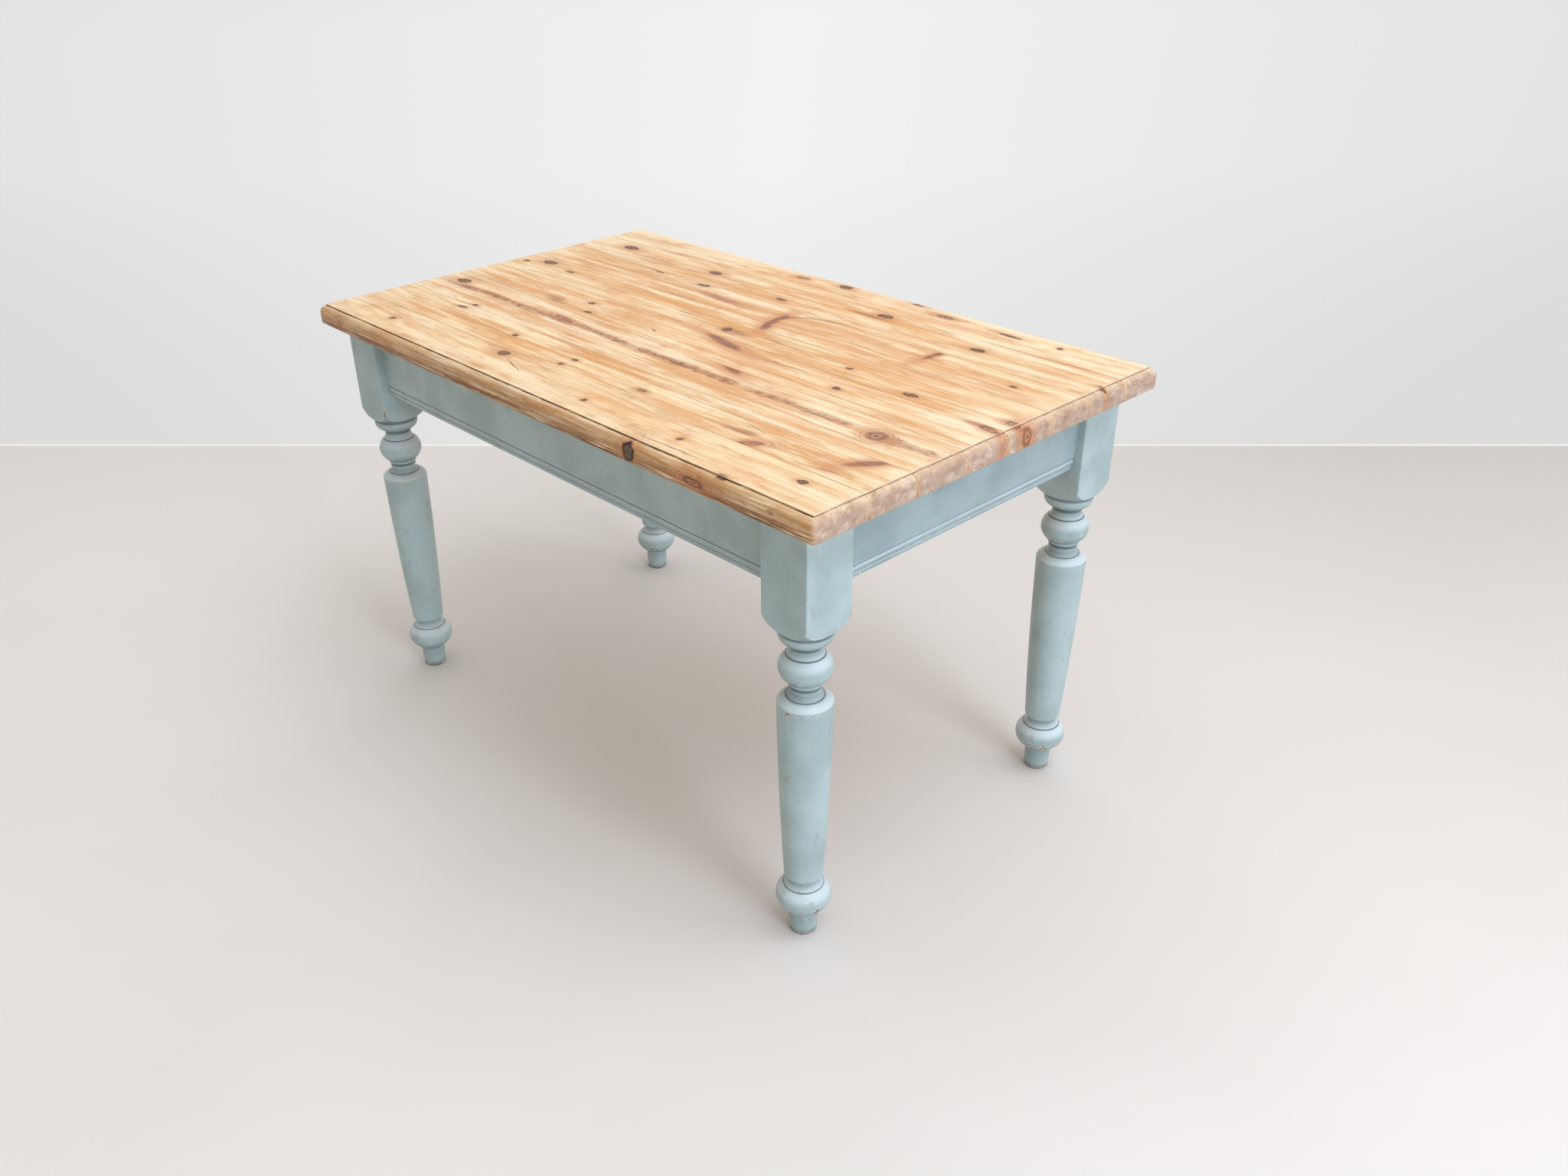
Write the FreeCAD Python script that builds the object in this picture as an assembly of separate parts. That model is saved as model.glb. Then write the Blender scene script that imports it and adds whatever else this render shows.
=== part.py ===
import FreeCAD, Part
import math
import os

# Farmhouse kitchen table: an edge-jointed plank top with a moulded edge, on a tenoned and beaded
# frame with four turned legs. Two drawers run side by side in the rear long side.
# Millimetres. The origin is on the floor under the middle of the top. X runs along the length,
# -Y is the plain long side (front), +Y the drawer side (rear), Z is up.

Vector = FreeCAD.Vector
coincident = 1e-6   # points nearer than this are one
lap = 1.0           # pieces that are fused, and tools that cut through, reach this far past the face

# ---- driving dimensions ----

# top
table_height = 770.0
top_length = 1270.0
top_width = 765.0
top_thickness = 36.0
plank_shares = (101.5, 91.0, 105.0, 90.0, 100.0, 91.0, 94.0, 92.5)  # relative widths, front to rear
top_corner_radius = 7.0
edge_inset = 11.0          # width of the edge moulding in plan
edge_quirk = 2.4           # sunk step between the flat top and the moulding
edge_round_height = 17.0   # height of the rounded part of the moulding
edge_lower_radius = 4.0    # softened lower arris

# frame layout
end_overhang = 41.0        # top beyond the leg faces at the short ends
side_overhang = 31.0       # top beyond the leg faces at the long sides
leg_block = 88.0           # square section of the legs
leg_arris = 2.5            # eased corners of the square section
apron_setback = 15.5       # apron face behind the leg face
apron_height = 119.0
apron_thickness = 22.0

# turned part of the leg, from the square block down to the shaft
block_height = 177.0
shoulder_rise = 20.0       # how far the turned shoulder climbs the corners of the block
shoulder_bulge = 3.8       # how far its middle stands off a straight slope
collar_radius = 40.0
collar_band = 8.0
collar_round = 16.5
collar_lip_radius = 27.0
neck_radius = 24.0
neck_height = 9.5
ring_radius = 28.0
ring_height = 9.5
ring_round = 1.1
quirk_depth = 1.3          # depth of the cut lines of the turning
turning_sag = 0.8          # straight runs of the outline stand off the true curve by about this
leg_flats = 28             # flats round about
ball_radius = 39.5
ball_height = 44.5
ball_foot_radius = 25.5
beadlet_radius = 26.0      # small bead under the ball
beadlet_height = 6.0
throat_radius = 23.7
throat_height = 7.0
saucer_radius = 27.4
saucer_height = 12.0
shaft_shoulder_height = 9.5
shaft_shoulder_round = 1.9
shaft_top_radius = 41.5
shaft_bottom_radius = 30.5
shaft_swell = 1.8          # slight outward curve of the taper
shaft_end_round = 4.0

# turned foot, from the floor up
toe_height = 48.0
toe_bottom_radius = 21.5
toe_top_radius = 23.6
toe_ease = 2.5             # eased edge at the floor
foot_bead_height = 48.5
foot_bead_radius = 43.5
foot_bead_base_radius = 26.0
foot_bead_top_radius = 31.0
foot_cove_height = 15.5
foot_cove_top_radius = 26.4

# bead run along the lower edge of the aprons
bead_diameter = 10.5
bead_quirk_width = 2.2
bead_quirk_depth = 3.0
apron_foot_strip = 7.0     # flat strip below the bead
apron_foot_recess = 2.5

# joints of the frame
tenon_thickness = 10.0
tenon_setback = 6.0        # tenon behind the apron face
tenon_lower_shoulder = 12.0
tenon_upper_shoulder = 28.0
haunch_length = 8.0
mortise_web = 10.0         # wood left between the two mortises in a leg
mortise_floor_gap = 1.5

# drawer side
bottom_rail_height = 31.0
bottom_rail_depth = 45.0
bottom_rail_tenon_shoulder = 8.0
twin_tenon_gap = 12.0
top_rail_thickness = 18.0
top_rail_depth = 60.0
lap_dovetail_length = 32.0
lap_dovetail_root = 34.0
lap_dovetail_flare = 5.0
divider_width = 40.0
divider_tenon_height = 6.0
divider_tenon_setback = 12.0

# runners, guides and kickers
runner_thickness = 20.0
runner_ledge = 22.0      # runner under the side of a drawer
guide_width = 20.0
guide_height = 28.0
guide_end_gap = 0.5
stub_length = 8.0
stub_width = 12.0
stub_thickness = 8.0
stop_length = 40.0
stop_depth = 18.0
stop_height = 7.0
stop_gap = 0.3
stop_spread = 150.0

# drawers
drawer_depth = 420.0
drawer_side_gap = 1.0
drawer_front_gap = 1.0
drawer_slide_gap = 0.3
drawer_top_gap = 1.5
drawer_front_thickness = 20.0
drawer_side_thickness = 12.0
drawer_back_thickness = 10.0
drawer_back_drop = 6.0     # back lower than the sides
drawer_bottom_thickness = 6.0
drawer_bottom_height = 9.0  # underside of the bottom panel above the drawer's lower edge
drawer_groove_depth = 5.0
drawer_front_arris = 1.0
dovetail_lap = 6.0         # wood left in front of the half-blind tails
front_tail_count = 2
back_tail_count = 2
pin_root_width = 10.0
pin_tip_width = 5.0

# knobs
knob_radius = 17.0
knob_projection = 27.0
knob_base_radius = 10.5
knob_waist_radius = 8.0
knob_waist_round = 2.0     # hollow of the cap's underside
knob_cap_height = 11.0
knob_rim = 2.0
knob_tenon_radius = 6.0
knob_clearance = 0.1
knob_sag = 0.3
knob_flats = 20

# top fixings
button_length = 42.0
button_width = 28.0
button_thickness = 18.0
button_tongue_length = 9.0
button_tongue_thickness = 8.0
button_groove_gap = 0.5
button_positions = (-400.0, -170.0, 170.0, 400.0)

# ---- places worked out from the sizes ----

under_top = table_height - top_thickness
leg_face_x = top_length / 2 - end_overhang
leg_face_y = top_width / 2 - side_overhang
leg_centre_x = leg_face_x - leg_block / 2
leg_centre_y = leg_face_y - leg_block / 2
leg_inner_x = leg_face_x - leg_block
leg_inner_y = leg_face_y - leg_block
apron_face_x = leg_face_x - apron_setback
apron_face_y = leg_face_y - apron_setback
apron_bottom = under_top - apron_height
front_apron_inner_y = -(apron_face_y - apron_thickness)
bottom_rail_inner_y = apron_face_y - bottom_rail_depth
top_rail_inner_y = apron_face_y - top_rail_depth
tenon_length = leg_block - apron_setback - tenon_setback - tenon_thickness - mortise_web
opening_bottom = apron_bottom + bottom_rail_height
opening_top = under_top - top_rail_thickness
block_bottom = under_top - block_height


# ---- small helpers ----

def box(x0, x1, y0, y1, z0, z1):
    return Part.makeBox(x1 - x0, y1 - y0, z1 - z0, Vector(x0, y0, z0))


def fused(pieces):
    whole = pieces[0]
    for piece in pieces[1:]:
        whole = whole.fuse(piece)
    return whole.removeSplitter()


def cut_all(solid, tools):
    for tool in tools:
        solid = solid.cut(tool)
    return solid


def turned_z(solid, degrees):
    turned = solid.copy()
    turned.rotate(Vector(0, 0, 0), Vector(0, 0, 1), degrees)
    return turned


def moved(solid, x, y, z):
    placed = solid.copy()
    placed.translate(Vector(x, y, z))
    return placed


def mirrored_x(solid):
    return solid.mirror(Vector(0, 0, 0), Vector(1, 0, 0))


def prism(corners, direction):
    """Extrudes a closed outline of straight sides."""
    return Part.Face(Part.makePolygon(corners + corners[:1])).extrude(direction)


class Outline:
    """A chain of straight lines and arcs. With a sag, each arc becomes straight runs that stand off it
    by about that much, as the turned pieces need."""

    def __init__(self, start, sag=0.0):
        self.points = [start]
        self.arc_middles = {}   # under the number of the point where the arc ends
        self.sag = sag

    def line(self, a, b):
        self.points.append((a, b))

    def arc(self, a, b, rise):
        """An arc to (a, b) whose middle stands off the chord by rise, to the right of its way."""
        a0, b0 = self.points[-1]
        chord = math.dist((a0, b0), (a, b))
        right = ((b - b0) / chord, (a0 - a) / chord)
        radius = (chord ** 2 / 4 + rise ** 2) / (2 * rise)
        centre = ((a0 + a) / 2 + (rise - radius) * right[0], (b0 + b) / 2 + (rise - radius) * right[1])
        half_turn = 2 * math.atan(2 * rise / chord)

        def on_arc(turn):
            cosine, sine = math.cos(turn), math.sin(turn)
            return (centre[0] + radius * (cosine * right[0] - sine * right[1]),
                    centre[1] + radius * (sine * right[0] + cosine * right[1]))

        if self.sag:
            run_turn = 2 * math.acos(max(0.0, 1 - self.sag / abs(radius)))
            runs = max(2, round(2 * abs(half_turn) / run_turn))
            self.points += [on_arc(half_turn * (2 * step / runs - 1)) for step in range(1, runs)]
        else:
            self.arc_middles[len(self.points)] = on_arc(0)
        self.points.append((a, b))

    def corner_arc(self, a, b, way=1):
        """A quarter round to (a, b), bulging to the right of its way, or left with way -1."""
        self.arc(a, b, way * (math.sqrt(2) - 1) / 2 * math.dist(self.points[-1], (a, b)))

    def face(self, place):
        """The outline, closed and filled, where place(a, b) gives a point in space."""
        edges = []
        for number, (start, end) in enumerate(zip(self.points, self.points[1:] + self.points[:1]), 1):
            if number in self.arc_middles:
                through = [place(*point) for point in (start, self.arc_middles[number], end)]
                edges.append(Part.Arc(*through).toShape())
            elif math.dist(start, end) > coincident:
                edges.append(Part.makeLine(place(*start), place(*end)))
        return Part.Face(Part.Wire(edges))

    def turned(self, flats):
        """The outline as (radius, height), from the axis down and back to it, turned about Z in flats."""
        turns = [2 * math.pi * step / flats for step in range(flats)]
        rings = [[Vector(radius * math.cos(turn), radius * math.sin(turn), height) for turn in turns]
                 for radius, height in self.points]
        faces = []
        for above, below in zip(rings, rings[1:]):
            for step in range(flats):
                corners = []
                for corner in (above[step], above[step - 1], below[step - 1], below[step]):
                    if not any(corner.isEqual(other, coincident) for other in corners):
                        corners.append(corner)
                faces.append(Part.Face(Part.makePolygon(corners + corners[:1])))
        return Part.Solid(Part.Shell(faces)).removeSplitter()


# ---- top ----

def top_section(half_width, place):
    """Section across the top: flat, quirk, rounded edge, square edge, softened lower arris."""
    shoulder = table_height - edge_quirk
    round_end = table_height - edge_round_height
    lower = under_top + edge_lower_radius
    section = Outline((-half_width + edge_lower_radius, under_top))
    section.line(half_width - edge_lower_radius, under_top)
    section.corner_arc(half_width, lower)
    section.line(half_width, round_end)
    section.corner_arc(half_width - edge_inset, shoulder)
    section.line(half_width - edge_inset, table_height)
    section.line(-half_width + edge_inset, table_height)
    section.line(-half_width + edge_inset, shoulder)
    section.corner_arc(-half_width, round_end)
    section.line(-half_width, lower)
    section.corner_arc(-half_width + edge_lower_radius, under_top)
    return section.face(place)


def upright_edges(solid, height):
    return [edge for edge in solid.Edges if abs(edge.BoundBox.ZLength - height) < coincident]


def make_top():
    """The whole top: both sections run through and meet in mitred corners."""
    half_length, half_width = top_length / 2, top_width / 2
    along = top_section(half_width, lambda a, b: Vector(-half_length, a, b))
    across = top_section(half_length, lambda a, b: Vector(a, -half_width, b))
    corners = box(-half_length, half_length, -half_width, half_width, under_top, table_height)
    corners = corners.makeFillet(top_corner_radius, upright_edges(corners, top_thickness))
    along, across = along.extrude(Vector(top_length, 0, 0)), across.extrude(Vector(0, top_width, 0))
    return along.common(across).common(corners)


def make_planks():
    """Planks glued edge to edge across the width."""
    whole = make_top()
    scale = top_width / sum(plank_shares)
    planks = []
    low = -top_width / 2
    for share in plank_shares:
        high = low + share * scale
        slice_box = box(-top_length, top_length, low, high, under_top - lap, table_height + lap)
        planks.append(whole.common(slice_box))
        low = high
    return planks


# ---- legs ----

def make_leg_turning():
    """Turned part below the block, as one outline of radius and height turned about the leg's axis."""
    height = block_bottom
    turning = Outline((0, height), turning_sag)
    turning.line(collar_radius, height)
    height -= collar_band
    turning.line(collar_radius, height)
    height -= collar_round
    turning.corner_arc(collar_lip_radius, height, -1)
    turning.line(neck_radius, height)
    height -= neck_height
    turning.line(neck_radius, height)
    height -= ring_height
    turning.arc(ring_radius, height, ring_round)
    turning.line(ring_radius - quirk_depth, height)
    height -= ball_height
    ball_rise = ball_radius - (ring_radius - quirk_depth + ball_foot_radius) / 2
    turning.arc(ball_foot_radius, height, -ball_rise)
    turning.line(throat_radius, height)
    height -= beadlet_height
    turning.arc(throat_radius, height, throat_radius - beadlet_radius)
    height -= throat_height
    turning.line(throat_radius, height)
    height -= saucer_height
    turning.corner_arc(saucer_radius, height)
    turning.line(saucer_radius - quirk_depth, height)
    height -= shaft_shoulder_height
    turning.arc(shaft_top_radius, height, -shaft_shoulder_round)
    height = toe_height + foot_bead_height + foot_cove_height
    turning.arc(shaft_bottom_radius, height + shaft_end_round, -shaft_swell)
    turning.corner_arc(foot_cove_top_radius, height, -1)
    turning.line(foot_cove_top_radius - quirk_depth, height)
    height -= foot_cove_height
    turning.corner_arc(foot_bead_top_radius, height)
    turning.line(foot_bead_top_radius - quirk_depth, height)
    bead_rise = foot_bead_radius - (foot_bead_top_radius - quirk_depth + foot_bead_base_radius) / 2
    turning.arc(foot_bead_base_radius, toe_height, -bead_rise)
    turning.line(toe_top_radius, toe_height)
    turning.line(toe_bottom_radius, toe_ease)
    turning.line(toe_bottom_radius - toe_ease / 2, 0)
    turning.line(0, 0)
    return turning.turned(leg_flats)


def make_leg_block():
    """Square block with eased arrises and a turned shoulder that rounds its lower corners."""
    half = leg_block / 2
    square = box(-half, half, -half, half, block_bottom, under_top)
    square = square.makeChamfer(leg_arris, upright_edges(square, block_height))
    reach = half * math.sqrt(2)
    start = collar_radius + quirk_depth
    shoulder = Outline((0, under_top), turning_sag)
    shoulder.line(reach, under_top)
    shoulder.line(reach, block_bottom + shoulder_rise)
    shoulder.arc(start, block_bottom, -shoulder_bulge)
    shoulder.line(0, block_bottom)
    return square.common(shoulder.turned(leg_flats))


def make_legs(mortise_tools):
    blank = make_leg_block().fuse(make_leg_turning())
    legs = {}
    for side, x in (("left", -leg_centre_x), ("right", leg_centre_x)):
        for row, y in (("front", -leg_centre_y), ("rear", leg_centre_y)):
            legs["leg_%s_%s" % (row, side)] = cut_all(moved(blank, x, y, 0), mortise_tools)
    return legs


# ---- frame boards ----

def beaded_section(depth, top, place):
    """Board section: plain face, quirk, bead and a set-back strip along the lower edge.
    The first value is the depth behind the face, the second the height."""
    bead_bottom = apron_bottom + apron_foot_strip
    bead_top = bead_bottom + bead_diameter
    radius = bead_diameter / 2
    section = Outline((apron_foot_recess, apron_bottom))
    section.line(apron_foot_recess, bead_bottom - bead_quirk_width / 2)
    section.line(radius, bead_bottom)
    section.arc(radius, bead_top, -radius)
    section.line(bead_quirk_depth + radius, bead_top)
    section.line(bead_quirk_depth, bead_top + bead_quirk_width)
    section.line(0, bead_top + bead_quirk_width)
    section.line(0, top)
    section.line(depth, top)
    section.line(depth, apron_bottom)
    return section.face(place)


def apron_tenon(end, face, length, tall):
    """Haunched tenon at x = end, on a board whose face is at y = -face. tall adds to its length."""
    y0 = -face + tenon_setback
    y1 = y0 + tenon_thickness
    low = apron_bottom + tenon_lower_shoulder
    high = under_top - tenon_upper_shoulder
    tenon = box(end - lap, end + length + tall, y0, y1, low, high)
    haunch = box(end - lap, end + haunch_length + tall, y0, y1, high, under_top)
    return fused([tenon, haunch])


def make_apron(half_span, face):
    """Apron facing -Y with a haunched tenon at each end, and the tools for its two mortises."""
    section = beaded_section(apron_thickness, under_top, lambda a, b: Vector(-half_span, -face + a, b))
    board = section.extrude(Vector(2 * half_span, 0, 0))
    tenon = apron_tenon(half_span, face, tenon_length, 0)
    mortise = apron_tenon(half_span, face, tenon_length, mortise_floor_gap)
    apron = fused([board, tenon, mirrored_x(tenon)])
    return apron, [mortise, mirrored_x(mortise)]


def make_bottom_rail():
    """Deep beaded rail under the drawers, with twin tenons at each end."""
    section = beaded_section(bottom_rail_depth, opening_bottom,
                             lambda a, b: Vector(-leg_inner_x, apron_face_y - a, b))
    board = section.extrude(Vector(2 * leg_inner_x, 0, 0))
    low = apron_bottom + bottom_rail_tenon_shoulder
    high = opening_bottom - bottom_rail_tenon_shoulder
    tenons, mortises = [], []
    for setback in (tenon_setback, tenon_setback + tenon_thickness + twin_tenon_gap):
        outer = apron_face_y - setback
        for tall, group in ((0, tenons), (mortise_floor_gap, mortises)):
            tenon = box(leg_inner_x - lap, leg_inner_x + tenon_length + tall,
                        outer - tenon_thickness, outer, low, high)
            group += [tenon, mirrored_x(tenon)]
    return fused([board] + tenons), mortises


def make_top_rail():
    """Flat rail over the drawers, lapped into the leg tops with a dovetail at each end."""
    board = box(-leg_inner_x, leg_inner_x, top_rail_inner_y, apron_face_y, opening_top, under_top)
    middle = (top_rail_inner_y + apron_face_y) / 2
    root = lap_dovetail_root / 2
    tip = root + lap_dovetail_flare
    end = leg_inner_x + lap_dovetail_length
    tail = prism([Vector(leg_inner_x, middle - root, opening_top), Vector(end, middle - tip, opening_top),
                  Vector(end, middle + tip, opening_top), Vector(leg_inner_x, middle + root, opening_top)],
                 Vector(0, 0, top_rail_thickness))
    tails = [tail, mirrored_x(tail)]
    return fused([board] + tails), tails


def make_divider():
    """Upright between the two drawer openings, with a stub tenon into each rail."""
    half = divider_width / 2
    post = box(-half, half, bottom_rail_inner_y, apron_face_y, opening_bottom, opening_top)
    inner, outer = bottom_rail_inner_y + divider_tenon_setback, apron_face_y - divider_tenon_setback
    stub = box(-half + divider_tenon_height, half - divider_tenon_height, inner, outer,
               opening_bottom - divider_tenon_height, opening_top + divider_tenon_height)
    return fused([post, stub])


# ---- runners, guides, kickers and stops ----

def with_stubs(bearer, x, rear, height):
    """Adds the stub tenons that hold a bearer in the front apron and in a rear rail."""
    front = front_apron_inner_y
    stubs = [box(x - stub_width / 2, x + stub_width / 2, near, far,
                 height - stub_thickness / 2, height + stub_thickness / 2)
             for near, far in ((front - stub_length, front + lap), (rear - lap, rear + stub_length))]
    return fused([bearer] + stubs)


def make_side_bearer(low, high, rear):
    """Bearer on the left, beside the legs, widened between them to carry the guide."""
    inner = -leg_inner_x + runner_ledge
    slim = box(-leg_inner_x, inner, front_apron_inner_y, rear, low, high)
    wide = box(-leg_inner_x - guide_width, -leg_inner_x + lap,
               -leg_inner_y + guide_end_gap, leg_inner_y - guide_end_gap, low, high)
    return with_stubs(slim.fuse(wide), -leg_inner_x + runner_ledge / 2, rear, (low + high) / 2)


def make_middle_bearer(low, high, rear):
    """Bearer under or over the inner sides of both drawers."""
    half = divider_width / 2 + runner_ledge
    return with_stubs(box(-half, half, front_apron_inner_y, rear, low, high), 0, rear, (low + high) / 2)


def make_side_guide():
    return box(-leg_inner_x - guide_width, -leg_inner_x, -leg_inner_y + guide_end_gap,
               leg_inner_y - guide_end_gap, opening_bottom, opening_bottom + guide_height)


def make_middle_guide():
    half = divider_width / 2
    return box(-half, half, front_apron_inner_y, bottom_rail_inner_y,
               opening_bottom, opening_bottom + guide_height)


def make_stops(centres):
    """Blocks on the bottom rail that the drawer fronts close against."""
    face = apron_face_y - drawer_front_thickness - stop_gap
    stops = []
    for centre in centres:
        for x in (centre - stop_spread, centre + stop_spread):
            stops.append(box(x - stop_length / 2, x + stop_length / 2, face - stop_depth, face,
                             opening_bottom, opening_bottom + stop_height))
    return stops


# ---- drawers ----

drawer_outer = leg_inner_x - drawer_side_gap
drawer_inner = divider_width / 2 + drawer_side_gap
drawer_centre = (drawer_outer + drawer_inner) / 2
drawer_low = opening_bottom + drawer_slide_gap
drawer_high = opening_top - drawer_top_gap
drawer_rear_y = apron_face_y - drawer_depth
drawer_panel_low = drawer_low + drawer_bottom_height
drawer_panel_high = drawer_panel_low + drawer_bottom_thickness
drawer_back_high = drawer_high - drawer_back_drop


def pins(x0, x1, root, tip, low, high, count):
    """The pins between a row of tails, widest at root and narrowest at tip along Y, with half pins
    at the low and high ends."""
    pitch = (high - low) / count
    row = []
    for step in range(count + 1):
        middle = low + step * pitch
        wide, narrow = pin_root_width / 2, pin_tip_width / 2
        corners = [Vector(x0, root, middle - wide), Vector(x0, root, middle + wide),
                   Vector(x0, tip, middle + narrow), Vector(x0, tip, middle - narrow)]
        row.append(prism(corners, Vector(x1 - x0, 0, 0)))
    return row


def make_drawer_side(x0, x1):
    """Side from the half-bound tails in the front to the through tails in the back."""
    inner_face = apron_face_y - drawer_front_thickness
    tip = apron_face_y - dovetail_lap
    front_low, front_high = opening_bottom + drawer_front_gap, opening_top - drawer_front_gap
    side = box(x0, x1, drawer_rear_y, tip, drawer_low, drawer_high)
    side = cut_all(side, pins(x0, x1, inner_face, tip, front_low, front_high, front_tail_count))
    back_root = drawer_rear_y + drawer_back_thickness
    back_zone = box(x0, x1, drawer_rear_y, back_root, drawer_panel_high, drawer_back_high)
    rear_pins = pins(x0, x1, back_root, drawer_rear_y, drawer_panel_high, drawer_back_high, back_tail_count)
    return cut_all(side, [pin.common(back_zone) for pin in rear_pins])


def make_drawer():
    """The left drawer, from its real joints: half-bound dovetails in front, through dovetails behind,
    and a solid bottom that slides in grooves under the back."""
    outer, inner = -drawer_outer, -drawer_inner
    sides = [make_drawer_side(outer, outer + drawer_side_thickness),
             make_drawer_side(inner - drawer_side_thickness, inner)]
    inner_face = apron_face_y - drawer_front_thickness
    front = box(outer, inner, inner_face, apron_face_y,
                opening_bottom + drawer_front_gap, opening_top - drawer_front_gap)
    face_edges = [edge for edge in front.Edges if abs(edge.BoundBox.YMin - apron_face_y) < coincident]
    front = front.makeChamfer(drawer_front_arris, face_edges)
    back = box(outer, inner, drawer_rear_y, drawer_rear_y + drawer_back_thickness,
               drawer_panel_high, drawer_back_high)
    panel = box(outer + drawer_side_thickness - drawer_groove_depth,
                inner - drawer_side_thickness + drawer_groove_depth,
                drawer_rear_y, inner_face + drawer_groove_depth, drawer_panel_low, drawer_panel_high)
    groove = box(outer + drawer_side_thickness - drawer_groove_depth,
                 inner - drawer_side_thickness + drawer_groove_depth,
                 drawer_rear_y - lap, apron_face_y - dovetail_lap, drawer_panel_low, drawer_panel_high)
    middle_z = (opening_bottom + opening_top) / 2
    knob_hole = Part.makeCylinder(knob_tenon_radius + knob_clearance, drawer_front_thickness,
                                  Vector(-drawer_centre, inner_face, middle_z), Vector(0, 1, 0))
    return {
        "front": cut_all(front, sides + [panel, knob_hole]),
        "side_outer": sides[0].cut(groove),
        "side_inner": sides[1].cut(groove),
        "back": cut_all(back, sides),
        "bottom": panel,
        "knob": moved(make_knob(), -drawer_centre, apron_face_y, middle_z),
    }


def make_knob():
    """Turned knob along +Y from the drawer face, with a glued tenon through the front."""
    waist = knob_projection - knob_cap_height
    dome = knob_cap_height - knob_rim
    dome_chord = math.hypot(knob_radius, dome)
    dome_curve = dome_chord ** 2 / (2 * dome)
    turning = Outline((0, knob_projection), knob_sag)
    turning.arc(knob_radius, waist + knob_rim, math.sqrt(dome_curve ** 2 - dome_chord ** 2 / 4) - dome_curve)
    turning.line(knob_radius - knob_rim / 2, waist)
    turning.arc(knob_waist_radius, waist / 2, knob_waist_round)
    turning.corner_arc(knob_base_radius, knob_rim)
    turning.line(knob_base_radius, 0)
    turning.line(knob_tenon_radius, 0)
    turning.line(knob_tenon_radius, -drawer_front_thickness)
    turning.line(0, -drawer_front_thickness)
    knob = turning.turned(knob_flats)
    knob.rotate(Vector(0, 0, 0), Vector(1, 0, 0), -90)
    return knob


# ---- top buttons ----

def make_buttons():
    """Turn buttons inside the front apron: blocks under the top whose tongues are in its groove."""
    low = under_top - button_thickness
    block = box(-button_length / 2, button_length / 2, front_apron_inner_y,
                front_apron_inner_y + button_width, low, under_top)
    tongue = box(-button_length / 2, button_length / 2, front_apron_inner_y - button_tongue_length,
                 front_apron_inner_y + lap, low, low + button_tongue_thickness)
    button = fused([block, tongue])
    return [moved(button, x, 0, 0) for x in button_positions]


# ---- assembly ----

parts = {}

for number, plank in enumerate(make_planks(), 1):
    parts["top_plank_%d" % number] = plank

# aprons and rails
apron_front, front_mortises = make_apron(leg_inner_x, apron_face_y)
apron_end, end_mortises = make_apron(leg_inner_y, apron_face_x)
bottom_rail, bottom_rail_mortises = make_bottom_rail()
top_rail, top_rail_sockets = make_top_rail()
divider = make_divider()
leg_tools = front_mortises + bottom_rail_mortises + top_rail_sockets
for degrees in (90, -90):
    leg_tools += [turned_z(mortise, degrees) for mortise in end_mortises]
parts.update(make_legs(leg_tools))

# runners, guides and kickers
runner = make_side_bearer(opening_bottom - runner_thickness, opening_bottom, bottom_rail_inner_y)
middle_runner = make_middle_bearer(opening_bottom - runner_thickness, opening_bottom, bottom_rail_inner_y)
kicker = make_side_bearer(opening_top, under_top, top_rail_inner_y)
middle_kicker = make_middle_bearer(opening_top, under_top, top_rail_inner_y)
guide = make_side_guide()
parts["runner_left"] = runner
parts["runner_right"] = mirrored_x(runner)
parts["runner_middle"] = middle_runner
parts["guide_left"] = guide
parts["guide_right"] = mirrored_x(guide)
parts["guide_middle"] = make_middle_guide()
parts["kicker_left"] = kicker
parts["kicker_right"] = mirrored_x(kicker)
parts["kicker_middle"] = middle_kicker

# front apron: mortised for the bearers, grooved for the buttons
groove_low = under_top - button_thickness - button_groove_gap
groove_high = groove_low + button_tongue_thickness + 2 * button_groove_gap
button_groove = box(-leg_inner_x, leg_inner_x, front_apron_inner_y - button_tongue_length - button_groove_gap,
                    front_apron_inner_y, groove_low, groove_high)
bearers = [runner, middle_runner, mirrored_x(runner), kicker, middle_kicker, mirrored_x(kicker)]
parts["apron_front"] = cut_all(apron_front, [button_groove] + bearers)
parts["apron_right"] = turned_z(apron_end, 90)
parts["apron_left"] = turned_z(apron_end, -90)
parts["drawer_rail_bottom"] = cut_all(bottom_rail, [divider] + bearers[:3])
parts["drawer_rail_top"] = cut_all(top_rail, [divider] + bearers[3:])
parts["drawer_divider"] = divider
parts["drawer_stops"] = Part.makeCompound(make_stops((-drawer_centre, drawer_centre)))
parts["top_buttons"] = Part.makeCompound(make_buttons())

# the right drawer mirrors the left one
for piece, solid in make_drawer().items():
    parts["drawer_left_" + piece] = solid
    parts["drawer_right_" + piece] = mirrored_x(solid)

os.makedirs("parts", exist_ok=True)
for name, solid in parts.items():
    solid.exportStep("parts/%s.step" % name)
print(len(parts), "parts written")
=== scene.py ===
import math
from functools import partial, reduce

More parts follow.
